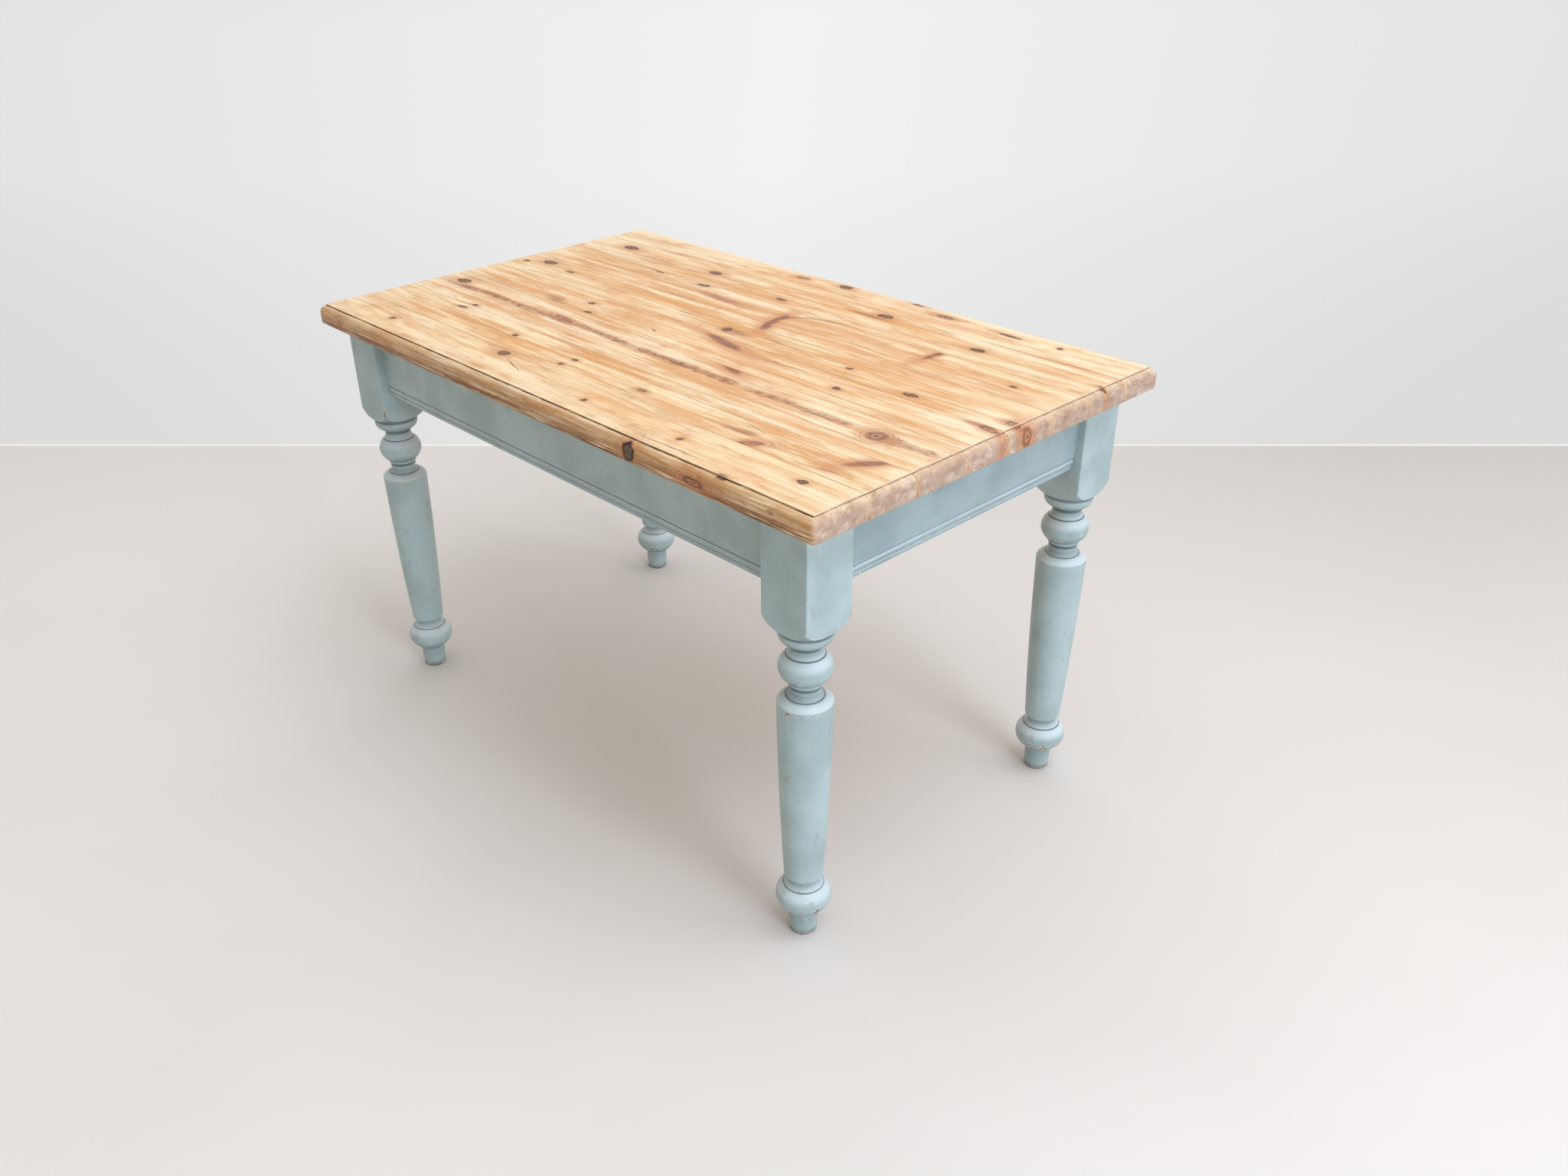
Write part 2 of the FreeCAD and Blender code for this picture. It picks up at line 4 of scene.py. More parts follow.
import bmesh
import bpy
import numpy as np
from mathutils import Matrix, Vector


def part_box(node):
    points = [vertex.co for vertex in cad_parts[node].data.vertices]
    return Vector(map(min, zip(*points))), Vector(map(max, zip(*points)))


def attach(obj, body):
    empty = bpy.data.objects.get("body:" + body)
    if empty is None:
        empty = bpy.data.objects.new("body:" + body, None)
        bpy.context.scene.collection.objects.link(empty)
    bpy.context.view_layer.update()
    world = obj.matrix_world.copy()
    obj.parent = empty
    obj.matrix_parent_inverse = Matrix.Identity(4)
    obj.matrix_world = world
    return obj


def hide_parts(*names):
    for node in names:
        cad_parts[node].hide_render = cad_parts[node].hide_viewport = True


# Farmhouse kitchen table: a waxed plank top on a painted frame with turned legs and two drawers.
# Sizes are in millimetres and turn into metres when a mesh is made. X runs along the table,
# the drawers are on the +Y side, Z is up and the floor is at 0.
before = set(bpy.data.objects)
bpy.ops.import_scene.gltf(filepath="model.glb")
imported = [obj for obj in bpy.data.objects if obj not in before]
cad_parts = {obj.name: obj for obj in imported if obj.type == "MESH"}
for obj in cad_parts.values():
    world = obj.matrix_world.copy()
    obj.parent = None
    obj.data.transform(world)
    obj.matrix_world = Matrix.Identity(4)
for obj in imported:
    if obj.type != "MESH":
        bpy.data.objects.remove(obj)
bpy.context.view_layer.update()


def linear(hexColour):
    # sRGB to linear: c / 12.92 for the darkest, else ((c + 0.055) / 1.055) to the power 2.4
    c = np.array([int(hexColour[k:k + 2], 16) for k in (1, 3, 5)]) / 255
    c = np.where(c <= 0.04045, c / 12.92, ((c + 0.055) / 1.055) ** 2.4)
    return (*c.tolist(), 1.0)


def add(tree, kind, *values, inputs=None, stops=None, out=0, **settings):
    # One shader node. kind may have the operation after it, values fill the sockets in order, inputs
    # fills them by name or number, stops are the (place, colour) pairs of a ramp, and out is the output
    # that is handed back.
    kind, *operation = kind.split()
    node = tree.nodes.new("ShaderNode" + kind)
    if operation:
        node.operation = operation[0]
    for key, value in settings.items():
        setattr(node, key, value)
    filled = [(k, v) for k, v in enumerate(values) if v is not None] + list((inputs or {}).items())
    for key, value in filled:
        if isinstance(value, bpy.types.NodeSocket):
            tree.links.new(value, node.inputs[key])
        else:
            node.inputs[key].default_value = value
    if stops:
        ramp = node.color_ramp.elements
        while len(ramp) < len(stops):
            ramp.new(0.5)
        for element, (place, colour) in zip(ramp, stops):
            element.position, element.color = place, linear(colour)
    return node.outputs[out] if len(node.outputs) else None


def newMaterial(name):
    material = bpy.data.materials.new(name)
    material.use_nodes = True
    material.node_tree.nodes.clear()
    return material, partial(add, material.node_tree)


def nodeWords(n):
    # short words for the sums that the materials are full of
    def times(first, *others):
        return reduce(lambda a, b: n("Math MULTIPLY", a, b), others, first)

    def plus(a, b):
        return n("Math ADD", a, b)

    def between(value, low, high, first=0.0, last=1.0):
        return n("MapRange", value, low, high, first, last, interpolation_type="SMOOTHSTEP")

    def given(name):
        # a number that the mesh carries for each of its points
        return n("Attribute", attribute_name=name, out=2)

    return times, plus, between, given


def layered(n, tones, ground, *layers):
    # Colours laid over one another. A layer is (share, colour); a colour is the name of one of the
    # tones, a hex colour or the output of another node.
    def toned(colour):
        return linear(tones.get(colour, colour)) if isinstance(colour, str) else colour

    mixed = toned(ground)
    for share, colour in layers:
        mixed = n("Mix", share, inputs={6: mixed, 7: toned(colour)}, data_type="RGBA", out=2)
    return mixed


def setAxes(thing, right, up, back, place):
    axes = np.eye(4)
    axes[:3] = np.stack([right, up, back, place], 1)
    thing.matrix_world = Matrix(axes.tolist())


def gridQuads(rows, columns):
    # quads between neighbouring rows of a grid of points, whose last column joins its first
    r, c = np.meshgrid(np.arange(rows - 1) * columns, np.arange(columns), indexing="ij")
    after = (c + 1) % columns
    return np.stack([r + c, r + after, r + columns + after, r + columns + c], -1).reshape(-1, 4)


def putPiece(name, points, faces, materials, body, nodes, faceMaterial=None, values=None,
             creaseAngle=38):
    # points in mm, faces as rows of point numbers, values as {attribute: one number a point}
    mesh = bpy.data.meshes.new(name)
    mesh.from_pydata((np.asarray(points) / 1000).tolist(), [], [list(face) for face in faces])
    for material in materials:
        mesh.materials.append(material)
    if faceMaterial is not None:
        mesh.polygons.foreach_set("material_index", np.asarray(faceMaterial, np.int32))
    for key, value in (values or {}).items():
        mesh.attributes.new(key, "FLOAT", "POINT").data.foreach_set("value", np.asarray(value, np.float32))
    work = bmesh.new()
    work.from_mesh(mesh)
    bmesh.ops.remove_doubles(work, verts=work.verts, dist=2e-6)
    bmesh.ops.recalc_face_normals(work, faces=work.faces)
    work.to_mesh(mesh)
    work.free()
    mesh.shade_smooth()
    mesh.set_sharp_from_angle(angle=math.radians(creaseAngle))
    return settle(bpy.data.objects.new(name, mesh), body, nodes)


def settle(piece, body, nodes):
    bpy.context.scene.collection.objects.link(piece)
    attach(piece, body)
    if nodes:
        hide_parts(*nodes)
    return piece


def outline(start, *steps):
    # A chain of points. A step (a, b) is a straight run; (a, b, rise) is an arc whose middle stands
    # off its chord by rise, to the right of its way: centre + radius * (cos, sin) of an even turn.
    points = [np.array([start], float)]
    for step in steps:
        a0, end = points[-1][-1], np.array(step[:2], float)
        if len(step) == 2:
            points.append(end[None])
            continue
        rise = step[2]
        chord = np.hypot(*(end - a0))
        right = np.array([end[1] - a0[1], a0[0] - end[0]]) / chord
        radius = (chord ** 2 / 4 + rise ** 2) / (2 * rise)
        centre = (a0 + end) / 2 + (rise - radius) * right
        half = 2 * math.atan(2 * rise / chord)
        count = max(4, math.ceil(abs(2 * half) / 0.16), math.ceil(chord / 14))
        turn = np.linspace(-half, half, count + 1)[1:, None]
        ahead = np.array([-right[1], right[0]])
        points.append(centre + radius * (np.cos(turn) * right + np.sin(turn) * ahead))
    return np.concatenate(points)


def quarter(a0, b0, a, b, way=1):
    # the step of a quarter round from (a0, b0) to (a, b)
    return (a, b, way * (math.sqrt(2) - 1) / 2 * math.dist((a0, b0), (a, b)))


def softened(points, size, closed=False, guard=1.8):
    # Cuts each corner sharper than 20 degrees at a small distance along both its sides, twice over.
    # Gives the points, and for each how it stands: 1 on an outer corner, -1 in an inner one.
    points = np.asarray(points, float)
    edge = np.zeros(len(points))
    for cut in (size, size * 0.42):
        back, on = np.roll(points, 1, 0) - points, np.roll(points, -1, 0) - points
        backLength, onLength = np.hypot(*back.T), np.hypot(*on.T)
        turn = np.arctan2(-back[:, 0] * on[:, 1] + back[:, 1] * on[:, 0], -(back * on).sum(1))
        sharp = np.abs(turn) > math.radians(20)
        if not closed:
            sharp[[0, -1]] = False
        reach = np.minimum(cut, 0.4 * np.minimum(backLength, onLength))[:, None]
        edge = np.where(sharp & (edge == 0), -np.clip(turn / 1.1, -1, 1), edge)
        index = np.repeat(np.arange(len(points)), np.where(sharp, 2, 1))
        second = np.r_[False, index[1:] == index[:-1]]
        first = sharp[index] & ~second
        moved = points[index].copy()
        moved[first] = (points + back / np.maximum(backLength, 1e-9)[:, None] * reach)[index][first]
        moved[second] = (points + on / np.maximum(onLength, 1e-9)[:, None] * reach)[index][second]
        points, edge = moved, edge[index]
    # two more points close to the ends of each long run keep the shading of a corner to the corner
    ahead = np.roll(points, -1, 0) - points
    length = np.hypot(*ahead.T)
    guarded = length > 4 * guard
    if not closed:
        guarded[-1] = False
    index = np.repeat(np.arange(len(points)), np.where(guarded, 3, 1))
    order = np.arange(len(index)) - np.searchsorted(index, index)
    step = np.select([order == 1, order == 2], [guard, length[index] - guard], 0.0)
    points = points[index] + ahead[index] / np.maximum(length, 1e-9)[index][:, None] * step[:, None]
    return points, np.where(order > 0, 0.0, edge[index])


cameraSet = dict(place=(1.6133, -1.3967, 1.4660), yaw=0.83669, pitch=0.53919, roll=-0.022775,
                 focal=1689.68, centre=(960.85, 817.84), frame=(2048, 1536), sensor=36.0)


def makeCamera(s):
    # forward from yaw and pitch; right and up turned about it by the roll; focal length in frame pixels
    yaw, pitch, roll = s["yaw"], s["pitch"], s["roll"]
    forward = np.array([-math.sin(yaw) * math.cos(pitch), math.cos(yaw) * math.cos(pitch), -math.sin(pitch)])
    flat = np.array([math.cos(yaw), math.sin(yaw), 0])
    raised = np.cross(flat, forward)
    right = math.cos(roll) * flat + math.sin(roll) * raised
    up = -math.sin(roll) * flat + math.cos(roll) * raised
    lens = bpy.data.cameras.new("camera")
    lens.sensor_width = s["sensor"]
    lens.lens = s["focal"] / s["frame"][0] * s["sensor"]
    lens.shift_x = 0.5 - s["centre"][0] / s["frame"][0]
    lens.shift_y = (s["centre"][1] - s["frame"][1] / 2) / s["frame"][0]
    lens.dof.use_dof = False
    eye = bpy.data.objects.new("camera", lens)
    bpy.context.scene.collection.objects.link(eye)
    setAxes(eye, right, up, -forward, s["place"])
    bpy.context.scene.camera = eye


makeCamera(cameraSet)
bpy.context.scene.view_settings.view_transform = "Standard"
print("camera placed")


# one wide floor with painted shade that darkens it away from the table, a paler far part that glows, even
# light, and a large soft lamp on the right
studio = dict(
    floor="#EBE4E0", mottle="#E6DFDB", floorAway="#E8E1DD", floorAwayRight="#CCC4BF", floorHalf=45.0,
    far="#F2F2F2", farSides="#DCDCDD", strip="#F0EEEC", stripWidth=0.014,
    farEdge=1.341,      # metres from the middle of the table to the change of tone
    farWay=(-0.7024, 0.7118, 0.0), acrossWay=(0.7118, 0.7024, 0.0),
    # metres between which one tone goes over into the next
    awayAlong=(-1.6, 1.3), awayAcross=(-1.1, 1.7), fade=(2.7, 4.8), toBackdrop=(13.0, 30.0),
    backdrop="#E0E0E1", fill=0.41, fillColour="#FAFBF3", lampAim=(0, 0, 0.5),
    # name, place, size, watts, colour, and whether glossy surfaces mirror the lamp: the low one would
    # lie as a white shape across the waxed top
    lamps=(("overhead", (0.1, 1.2, 4.6), 9.0, 206.0, "#FDFDFB", True),
           ("key", (2.7, 0.6, 6.4), 3.6, 112.0, "#E4EFFF", True),
           ("side", (5.7, -0.7, 2.1), 2.2, 178.0, "#E0EDFF", False)))


def seenDirectly(n):
    # 1 for rays that come from the camera, off gloss or through glass
    rays = [n("LightPath", out=k) for k in (0, 3, 6)]
    return n("Math MAXIMUM", n("Math MAXIMUM", rays[0], rays[1]), rays[2])


def makeFloor(s):
    material, n = newMaterial("studio_floor_matt")
    over = partial(layered, n, s)
    place = n("TexCoord", out=3)
    along = n("VectorMath DOT_PRODUCT", place, s["farWay"], out=1)
    across = n("VectorMath DOT_PRODUCT", place, s["acrossWay"], out=1)
    cloud = n("TexNoise", place, inputs={"Scale": 1.6, "Detail": 5})
    near = over("floor", (n("MapRange", cloud, 0.35, 0.65, 0, 1), "mottle"))
    # painted shade: the floor is darker away from the table, and more so to the right
    away = over("floorAway", (n("MapRange", across, *s["awayAcross"], 0, 1), "floorAwayRight"))
    near = over(near, (n("MapRange", along, *s["awayAlong"], 0, 1), away))
    reach = n("VectorMath LENGTH", place, out=1)
    fade = n("MapRange", reach, *s["fade"], 0, 1, interpolation_type="SMOOTHSTEP")
    isFar = n("Math GREATER_THAN", along, s["farEdge"])
    isStrip = n("Math GREATER_THAN", along, s["farEdge"] - s["stripWidth"])
    # painted light: the glowing far part is brightest in its middle, and painted shade fades it a little to
    # both sides and towards the floor
    depth = n("Math MAXIMUM", n("Math ADD", along, 2.0), 3.3)
    aside = n("Math ABSOLUTE", n("Math DIVIDE", across, depth))
    low = n("MapRange", along, 1.3, 5.0, 0.40, 0.0)
    wallShade = n("Math ADD", n("MapRange", aside, 0.0, 0.75, 0, 0.9), low)
    wall = over("far", (wallShade, "farSides"), (n("MapRange", reach, *s["toBackdrop"], 0, 1), "backdrop"))
    glow = n("Emission", over("strip", (n("Math MAXIMUM", isFar, fade), wall)), 1.0)
    ground = n("BsdfPrincipled", inputs={"Base Color": near, "Roughness": 0.85, "Specular IOR Level": 0.2})
    glows = n("Math MULTIPLY", n("Math MAXIMUM", isStrip, fade), seenDirectly(n))
    n("OutputMaterial", n("MixShader", glows, ground, glow))
    mesh = bpy.data.meshes.new("floor")
    half = s["floorHalf"]
    corners = [(-half, -half, 0), (half, -half, 0), (half, half, 0), (-half, half, 0)]
    mesh.from_pydata(corners, [], [(0, 1, 2, 3)])
    mesh.materials.append(material)
    floor = bpy.data.objects.new("floor", mesh)
    bpy.context.scene.collection.objects.link(floor)


def makeWorld(s):
    world = bpy.data.worlds.new("studio")
    bpy.context.scene.world = world
    world.use_nodes = True
    world.node_tree.nodes.clear()
    n = partial(add, world.node_tree)
    light = n("Background", linear(s["fillColour"]), s["fill"])
    shown = n("Background", linear(s["backdrop"]), 1.0)
    n("OutputWorld", n("MixShader", seenDirectly(n), light, shown))


def makeLamp(aim, name, place, size, watts, colour, mirrored):
    lamp = bpy.data.lights.new(name, "AREA")
    lamp.shape, lamp.size, lamp.energy = "SQUARE", size, watts
    lamp.color = linear(colour)[:3]
    holder = bpy.data.objects.new(name, lamp)
    holder.visible_glossy = mirrored
    bpy.context.scene.collection.objects.link(holder)
    back = np.array(place, float) - np.array(aim, float)
    right = np.cross((0, 0, 1), back)
    right, back = right / np.linalg.norm(right), back / np.linalg.norm(back)
    setAxes(holder, right, np.cross(back, right), back, place)


makeFloor(studio)
makeWorld(studio)
for lamp in studio["lamps"]:
    makeLamp(studio["lampAim"], *lamp)
print("studio lit")


# how each kind of knot is drawn: its rim, the stain round it, its ring lines and its tones outwards
knotSet = dict(
    red=dict(rim=0.55, halo=0.60, lines="streak", stops=[
        (0.0, "#6A3A28"), (0.12, "#B06C4C"), (0.40, "#C98E6A"), (0.62, "#A9633F"), (0.80, "#C48A62"),
        (0.95, "#A8683F")]),
    dark=dict(rim=0.80, halo=0.42, lines="stain", stops=[
        (0.0, "#3F2112"), (0.35, "#7E4A26"), (0.6, "#8C5429"), (0.85, "#4C2813")]),
    black=dict(rim=0.95, halo=0.42, lines="stain", stops=[
        (0.0, "#3A2A24"), (0.35, "#6E5648"), (0.7, "#59443A"), (0.95, "#3A2620")]))


def pineMaterial(name, s):
    # Pine, hand planed and waxed. A growth ring is a shell about the heart line of the log, so the
    # distance of a point from that line over the ring width, less its whole part, goes from pale early
    # wood to dark late wood. It gives the eye long straight grain, with true arcs on the sawn ends.
    material, n = newMaterial(name)
    times, plus, between, given = nodeWords(n)
    over = partial(layered, n, s)
    turned = n("Mapping", n("TexCoord", out=3), None, s.get("turn", (0, 0, 0)), None)
    place = n("VectorMath SCALE", turned, inputs={"Scale": 1000.0})
    seeded = n("VectorMath ADD", place, (s["seed"] * 731.0, s["seed"] * 97.0, s["seed"] * 53.0))

    def noise(scales, detail=2.0, out=0, rough=0.5):
        stretched = n("VectorMath MULTIPLY", seeded, tuple(1 / k for k in scales))
        return n("TexNoise", stretched, inputs={"Scale": 1.0, "Detail": detail, "Roughness": rough}, out=out)

    def swayed(point, scales, detail, amount):
        # the point moved by a vector that wanders about zero
        centred = n("VectorMath SUBTRACT", noise(scales, detail, 1), (0.5, 0.5, 0.5))
        return n("VectorMath ADD", point, n("VectorMath MULTIPLY", centred, amount))

    # knots and marks: distance from each in its own widths, and how far it pushes the grain aside
    ragged = swayed(place, (14, 7, 7), 3, (12.0, 7.0, 5.0))
    softly = swayed(place, (38, 18, 18), 2, (12.0, 9.0, 5.0))
    nearest = {}
    push = None
    marks = [(kind, *row) for kind, rows in s.get("marks", {}).items() for row in rows]
    for kind, x, y, rx, ry, *rest in marks:
        # a row may leave out its turn, its height and its half depth
        turn, z, rz = rest + [0, 770, 30 if kind == "crack" else 60][len(rest):]
        own = n("Mapping", ragged if kind in knotSet else softly, (x, y, z), (0, 0, math.radians(turn)),
                (rx, ry, rz), vector_type="TEXTURE")
        away = n("VectorMath LENGTH", own, out=1)
        nearest[kind] = n("Math MINIMUM", nearest[kind], away) if kind in nearest else away
        if kind == "arc":
            nearest["arcSide"] = n("SeparateXYZ", own, out=0)
        if kind in ("red", "dark"):
            wide = n("VectorMath MULTIPLY", own, (0.34, 0.50, 0.50))
            fall = n("Math EXPONENT", times(n("VectorMath DOT_PRODUCT", wide, wide, out=1), -1.0))
            sideways = times(n("SeparateXYZ", own, out=1), -0.93 * ry, fall)
            push = sideways if push is None else plus(push, sideways)

    endCut = given("endCut")
    bent = swayed(place, (330, 60, 60), 2, (0, s["wander"], s["wander"]))
    bent = swayed(bent, (34, 9, 9), 3, (0, 1.6, 1.6))
    x, y, z = (n("SeparateXYZ", bent, out=k) for k in range(3))
    dy, dz = (n("Math SUBTRACT", a, n("Math MULTIPLY_ADD", x, tilt, heart))
              for a, tilt, heart in zip((y, z), s["tilt"], s["heart"]))
    if push is not None:
        dy = plus(dy, push)
    fromHeart = n("VectorMath LENGTH", n("CombineXYZ", dy, dz, 0.0), out=1)
    uneven = n("TexNoise", inputs={"W": times(fromHeart, 1 / 26), "Scale": 1.0, "Detail": 2.0},
               noise_dimensions="1D")
    ring = plus(times(fromHeart, 1 / s["ringWidth"]), times(uneven, 3.4))
    part = n("Math FRACT", ring)
    late = times(between(part, 0.36, 0.88), between(part, 0.90, 1.0, 1.0, 0.0))
    strength = n("TexNoise", inputs={"W": times(ring, 0.83), "Scale": 1.0, "Detail": 1.0},
                 noise_dimensions="1D")
    late = times(late, between(strength, 0.36, 0.68, 0.10, 1.0))

    # real fibres are finer; drawn at this size so that they show
    fibre = noise((190, 1.4, 1.4), 4, rough=0.62)
    patch = noise((210, 40, 40), 3)
    smudge = noise((52, 22, 22), 5, rough=0.66)
    band = noise((460, 9, 9), 3)            # soft streaks, some bands of rings being darker than others
    deep = noise((240, 24, 24), 4, rough=0.6)
    broad = noise((210, 30, 30), 4, rough=0.6)
    line = noise((240, 1.7, 1.7), 2)
    where = noise((300, 22, 22), 2)         # the rings show more in some places than in others
    seen = times(between(where, 0.34, 0.62, 0.20, 1.0), between(fibre, 0.28, 0.64, 0.60, 1.0))
    colour = over(
        "pale",
        (between(band, 0.34, 0.64), "warm"),
        (between(deep, 0.44, 0.66, 0.0, 0.85), "deep"),
        (times(late, seen, s["lateShare"]), "late"),
        (between(fibre, 0.50, 0.70, 0.0, 0.50), "late"),
        (between(fibre, 0.47, 0.32, 0.0, 0.50), "rubbed"),
        (times(between(line, 0.62, 0.70), between(smudge, 0.40, 0.60, 0.10, 0.80)), "stain"),
        (between(broad, 0.47, 0.66, 0.0, 0.80), "deep"),
        (between(broad, 0.47, 0.32, 0.0, 0.70), "rubbed"),
        (between(smudge, 0.54, 0.76, 0.0, s["smudge"]), "stain"),
        (between(smudge, 0.40, 0.26, 0.0, 0.40), "rubbed"))
    if s.get("heartWide"):
        # the brown, curly wood beside the heart line
        curl = noise((15, 2.8, 2.8), 3, rough=0.6)
        here = noise((95, 300, 300), 2)
        beside = plus(fromHeart, times(smudge, -13.0))
        inHeart = times(between(beside, s["heartWide"] - 6, s["heartWide"] - 15),
                        between(here, 0.34, 0.54, 0.20, 1.0))
        colour = over(
            colour,
            (times(inHeart, 0.88), "heartTone"),
            (times(inHeart, between(curl, 0.535, 0.60), 0.92), "heartLine"),
            (times(inHeart, between(curl, 0.44, 0.34), 0.45), "rubbed"))

    # fine drying cracks along the grain, only in places
    crackLine = noise((70, 1.15, 1.15), 2)
    crackPlace = noise((150, 20, 20), 2)
    crack = times(between(crackLine, 0.672, 0.70), between(crackPlace, s["crackFrom"], s["crackFrom"] + 0.08))
    colour = over(colour, (times(crack, 0.9), "crack"))
    height = plus(plus(times(late, 0.35), times(fibre, 0.6)), times(crack, -1.2))

    if s.get("table"):
        # rubbed paler near the edges of the top and brown in the joints; the sunk line of the moulding is
        # darkened with dirt and painted shade further on
        halfX, halfY, joints, rimLow = s["table"]
        px, py, pz = (n("SeparateXYZ", place, out=k) for k in range(3))
        fromEnd = n("Math SUBTRACT", halfX, n("Math ABSOLUTE", px))
        fromSide = n("Math SUBTRACT", halfY, n("Math ABSOLUTE", py))
        fromRim = n("Math MINIMUM", fromEnd, fromSide)
        rubbed = times(between(fromRim, 120, 8), between(smudge, 0.68, 0.38, 0.15, 1.0))
        colour = over(colour, (times(rubbed, 0.55), "rubbed"))
        for joint in joints:
            off = n("Math ABSOLUTE", n("Math SUBTRACT", py, joint))
            dark = times(between(off, 0.9, 0.3), between(crackPlace, 0.42, 0.66, 0.08, 0.70))
            colour = over(colour, (dark, "jointTone"))
        side = given("sideCut")
        scuff = noise((85, 5, 4), 5, rough=0.66)
        blotch = noise((26, 20, 11), 4, rough=0.6)
        # the rim's side is darker towards its bottom
        low = between(pz, rimLow + 20, rimLow + 3)
        endColour = over("endTone", (between(blotch, 0.36, 0.68, 0.0, 0.80), "endDark"),
                         (between(blotch, 0.46, 0.33, 0.0, 0.65), "endPale"))
        arcs = times(endCut, between(part, 0.70, 0.92),
                     between(noise((40, 22, 22), 3), 0.50, 0.66, 0.0, 0.62))
        split = between(noise((6, 1.3, 16), 2), 0.655, 0.70)
        colour = over(
            colour,
            (times(side, between(scuff, 0.34, 0.60, 0.25, 0.85)), "sideTone"),
            (times(side, low, between(scuff, 0.36, 0.58, 0.25, 0.90)), "sideLow"),
            (times(side, between(scuff, 0.44, 0.32, 0.0, 0.8)), "rubbed"),
            (times(side, between(blotch, 0.56, 0.72, 0.0, 0.45)), "sideLow"),
            (times(endCut, 0.80), endColour),
            (arcs, "endLate"),
            (times(endCut, split, 0.8), "crack"))

    if "bark" in nearest:
        inBark = between(nearest["bark"], 1.25, 0.62)
        colour = over(
            colour,
            (between(nearest["bark"], 3.4, 0.9, 0.0, 0.75), "halo"),
            (times(inBark, between(fibre, 0.28, 0.62, 0.35, 0.85)), "bark"),
            (times(inBark, between(line, 0.50, 0.60), 0.5), "crack"))
    if "streak" in nearest:
        inStreak = between(nearest["streak"], 1.15, 0.20)
        colour = over(colour, (times(inStreak, between(fibre, 0.30, 0.62, 0.20, 0.80)), "streak"))
    grit = noise((8, 5, 5), 3, rough=0.6)
    for kind, knot in knotSet.items():
        if kind not in nearest:
            continue
        d = plus(nearest[kind], between(fibre, 0.2, 0.8, -0.13, 0.13))
        around = n("Math FRACT", plus(times(d, 2.1), times(uneven, 0.6)))
        lines = times(between(around, 0.52, 0.92), between(around, 0.99, 0.93), between(d, 3.4, 1.1))
        core = over(n("ValToRGB", d, stops=knot["stops"]), (times(between(line, 0.56, 0.62), 0.75), "crack"))
        ringLine = times(between(n("Math ABSOLUTE", plus(d, -0.86)), 0.28, 0.09),
                         between(grit, 0.30, 0.45))
        colour = over(
            colour,
            (between(d, 3.0, 0.95, 0.0, knot["halo"]), "halo"),
            (times(lines, 0.62), knot["lines"]),
            (between(d, 1.05, 0.80, 0.0, 0.9), core),
            (times(ringLine, knot["rim"]), "crack"),
            (times(between(d, 0.45, 0.15), between(grit, 0.40, 0.55, 0.0, knot["rim"])), "crack"))
        height = plus(height, times(between(d, 1.05, 0.9), -0.4))
    if "arc" in nearest:
        # the edge of grown-over bark: a dark line that fades to one side, the wood inside it browner
        d, side = nearest["arc"], nearest["arcSide"]
        shownArc = times(between(n("Math ABSOLUTE", plus(d, -1.0)), 0.085, 0.02),
                         between(side, 0.75, -0.35))
        colour = over(
            colour,
            (times(between(d, 1.03, 0.75), between(side, 1.6, -0.6), 0.50), "deep"),
            (times(shownArc, between(fibre, 0.25, 0.55, 0.20, 0.58)), "bark"))
    if "crack" in nearest:
        shown = between(nearest["crack"], 1.1, 0.6)
        colour = over(colour, (times(shown, 0.85), "crack"))
        height = plus(height, times(shown, -1.6))

    edge = given("edge")
    # dirt and painted shade in the inner corners, such as the sunk line of the moulding
    grimeAndShade = times(between(times(edge, -1.0), 0.30, 0.95), between(smudge, 0.36, 0.56, 0.30, s["grimeAndShade"]))
    rubbedEdge = times(between(edge, 0.15, 0.9), between(smudge, 0.34, 0.58), 0.65)
    colour = over(colour, (grimeAndShade, "crack"), (rubbedEdge, "rubbed"))
    rough = between(patch, 0.3, 0.7, s["rough"][0], s["rough"][1])
    bump = n("Bump", inputs={"Strength": s["bump"], "Distance": 0.0007, "Height": height})
    shader = n("BsdfPrincipled", inputs={"Base Color": colour, "Roughness": rough, "Normal": bump,
                                         "Specular IOR Level": s["shine"], "IOR": 1.46})
    n("OutputMaterial", shader)
    return material


pineTones = dict(
    pale="#FEEBCB", warm="#F1C894", deep="#DC9A58", late="#A9652F", stain="#BE8350", rubbed="#F9E2BE",
    streak="#955038", bark="#864530", crack="#3A2012", heartTone="#B5713F", heartLine="#62351F",
    halo="#CC8450", jointTone="#6B432A", endTone="#AE9488", endDark="#8C6F62", endPale="#CDB9AE",
    endLate="#84604A", sideTone="#B97F47", sideLow="#6F3C12", lateShare=0.66, smudge=0.58, crackFrom=0.50,
    rough=(0.34, 0.50), bump=0.35, shine=0.38, wander=8.0, grimeAndShade=0.95)
barePine = dict(
    pineTones, pale="#E9CFA6", warm="#DDBA88", deep="#CFA26C", late="#B98C58", stain="#A58258",
    rough=(0.62, 0.75), shine=0.3, bump=0.45, smudge=0.35, heart=(40, 300), tilt=(0.01, 0.01), ringWidth=5.2,
    seed=2.0, grimeAndShade=0.5, crackFrom=0.7)


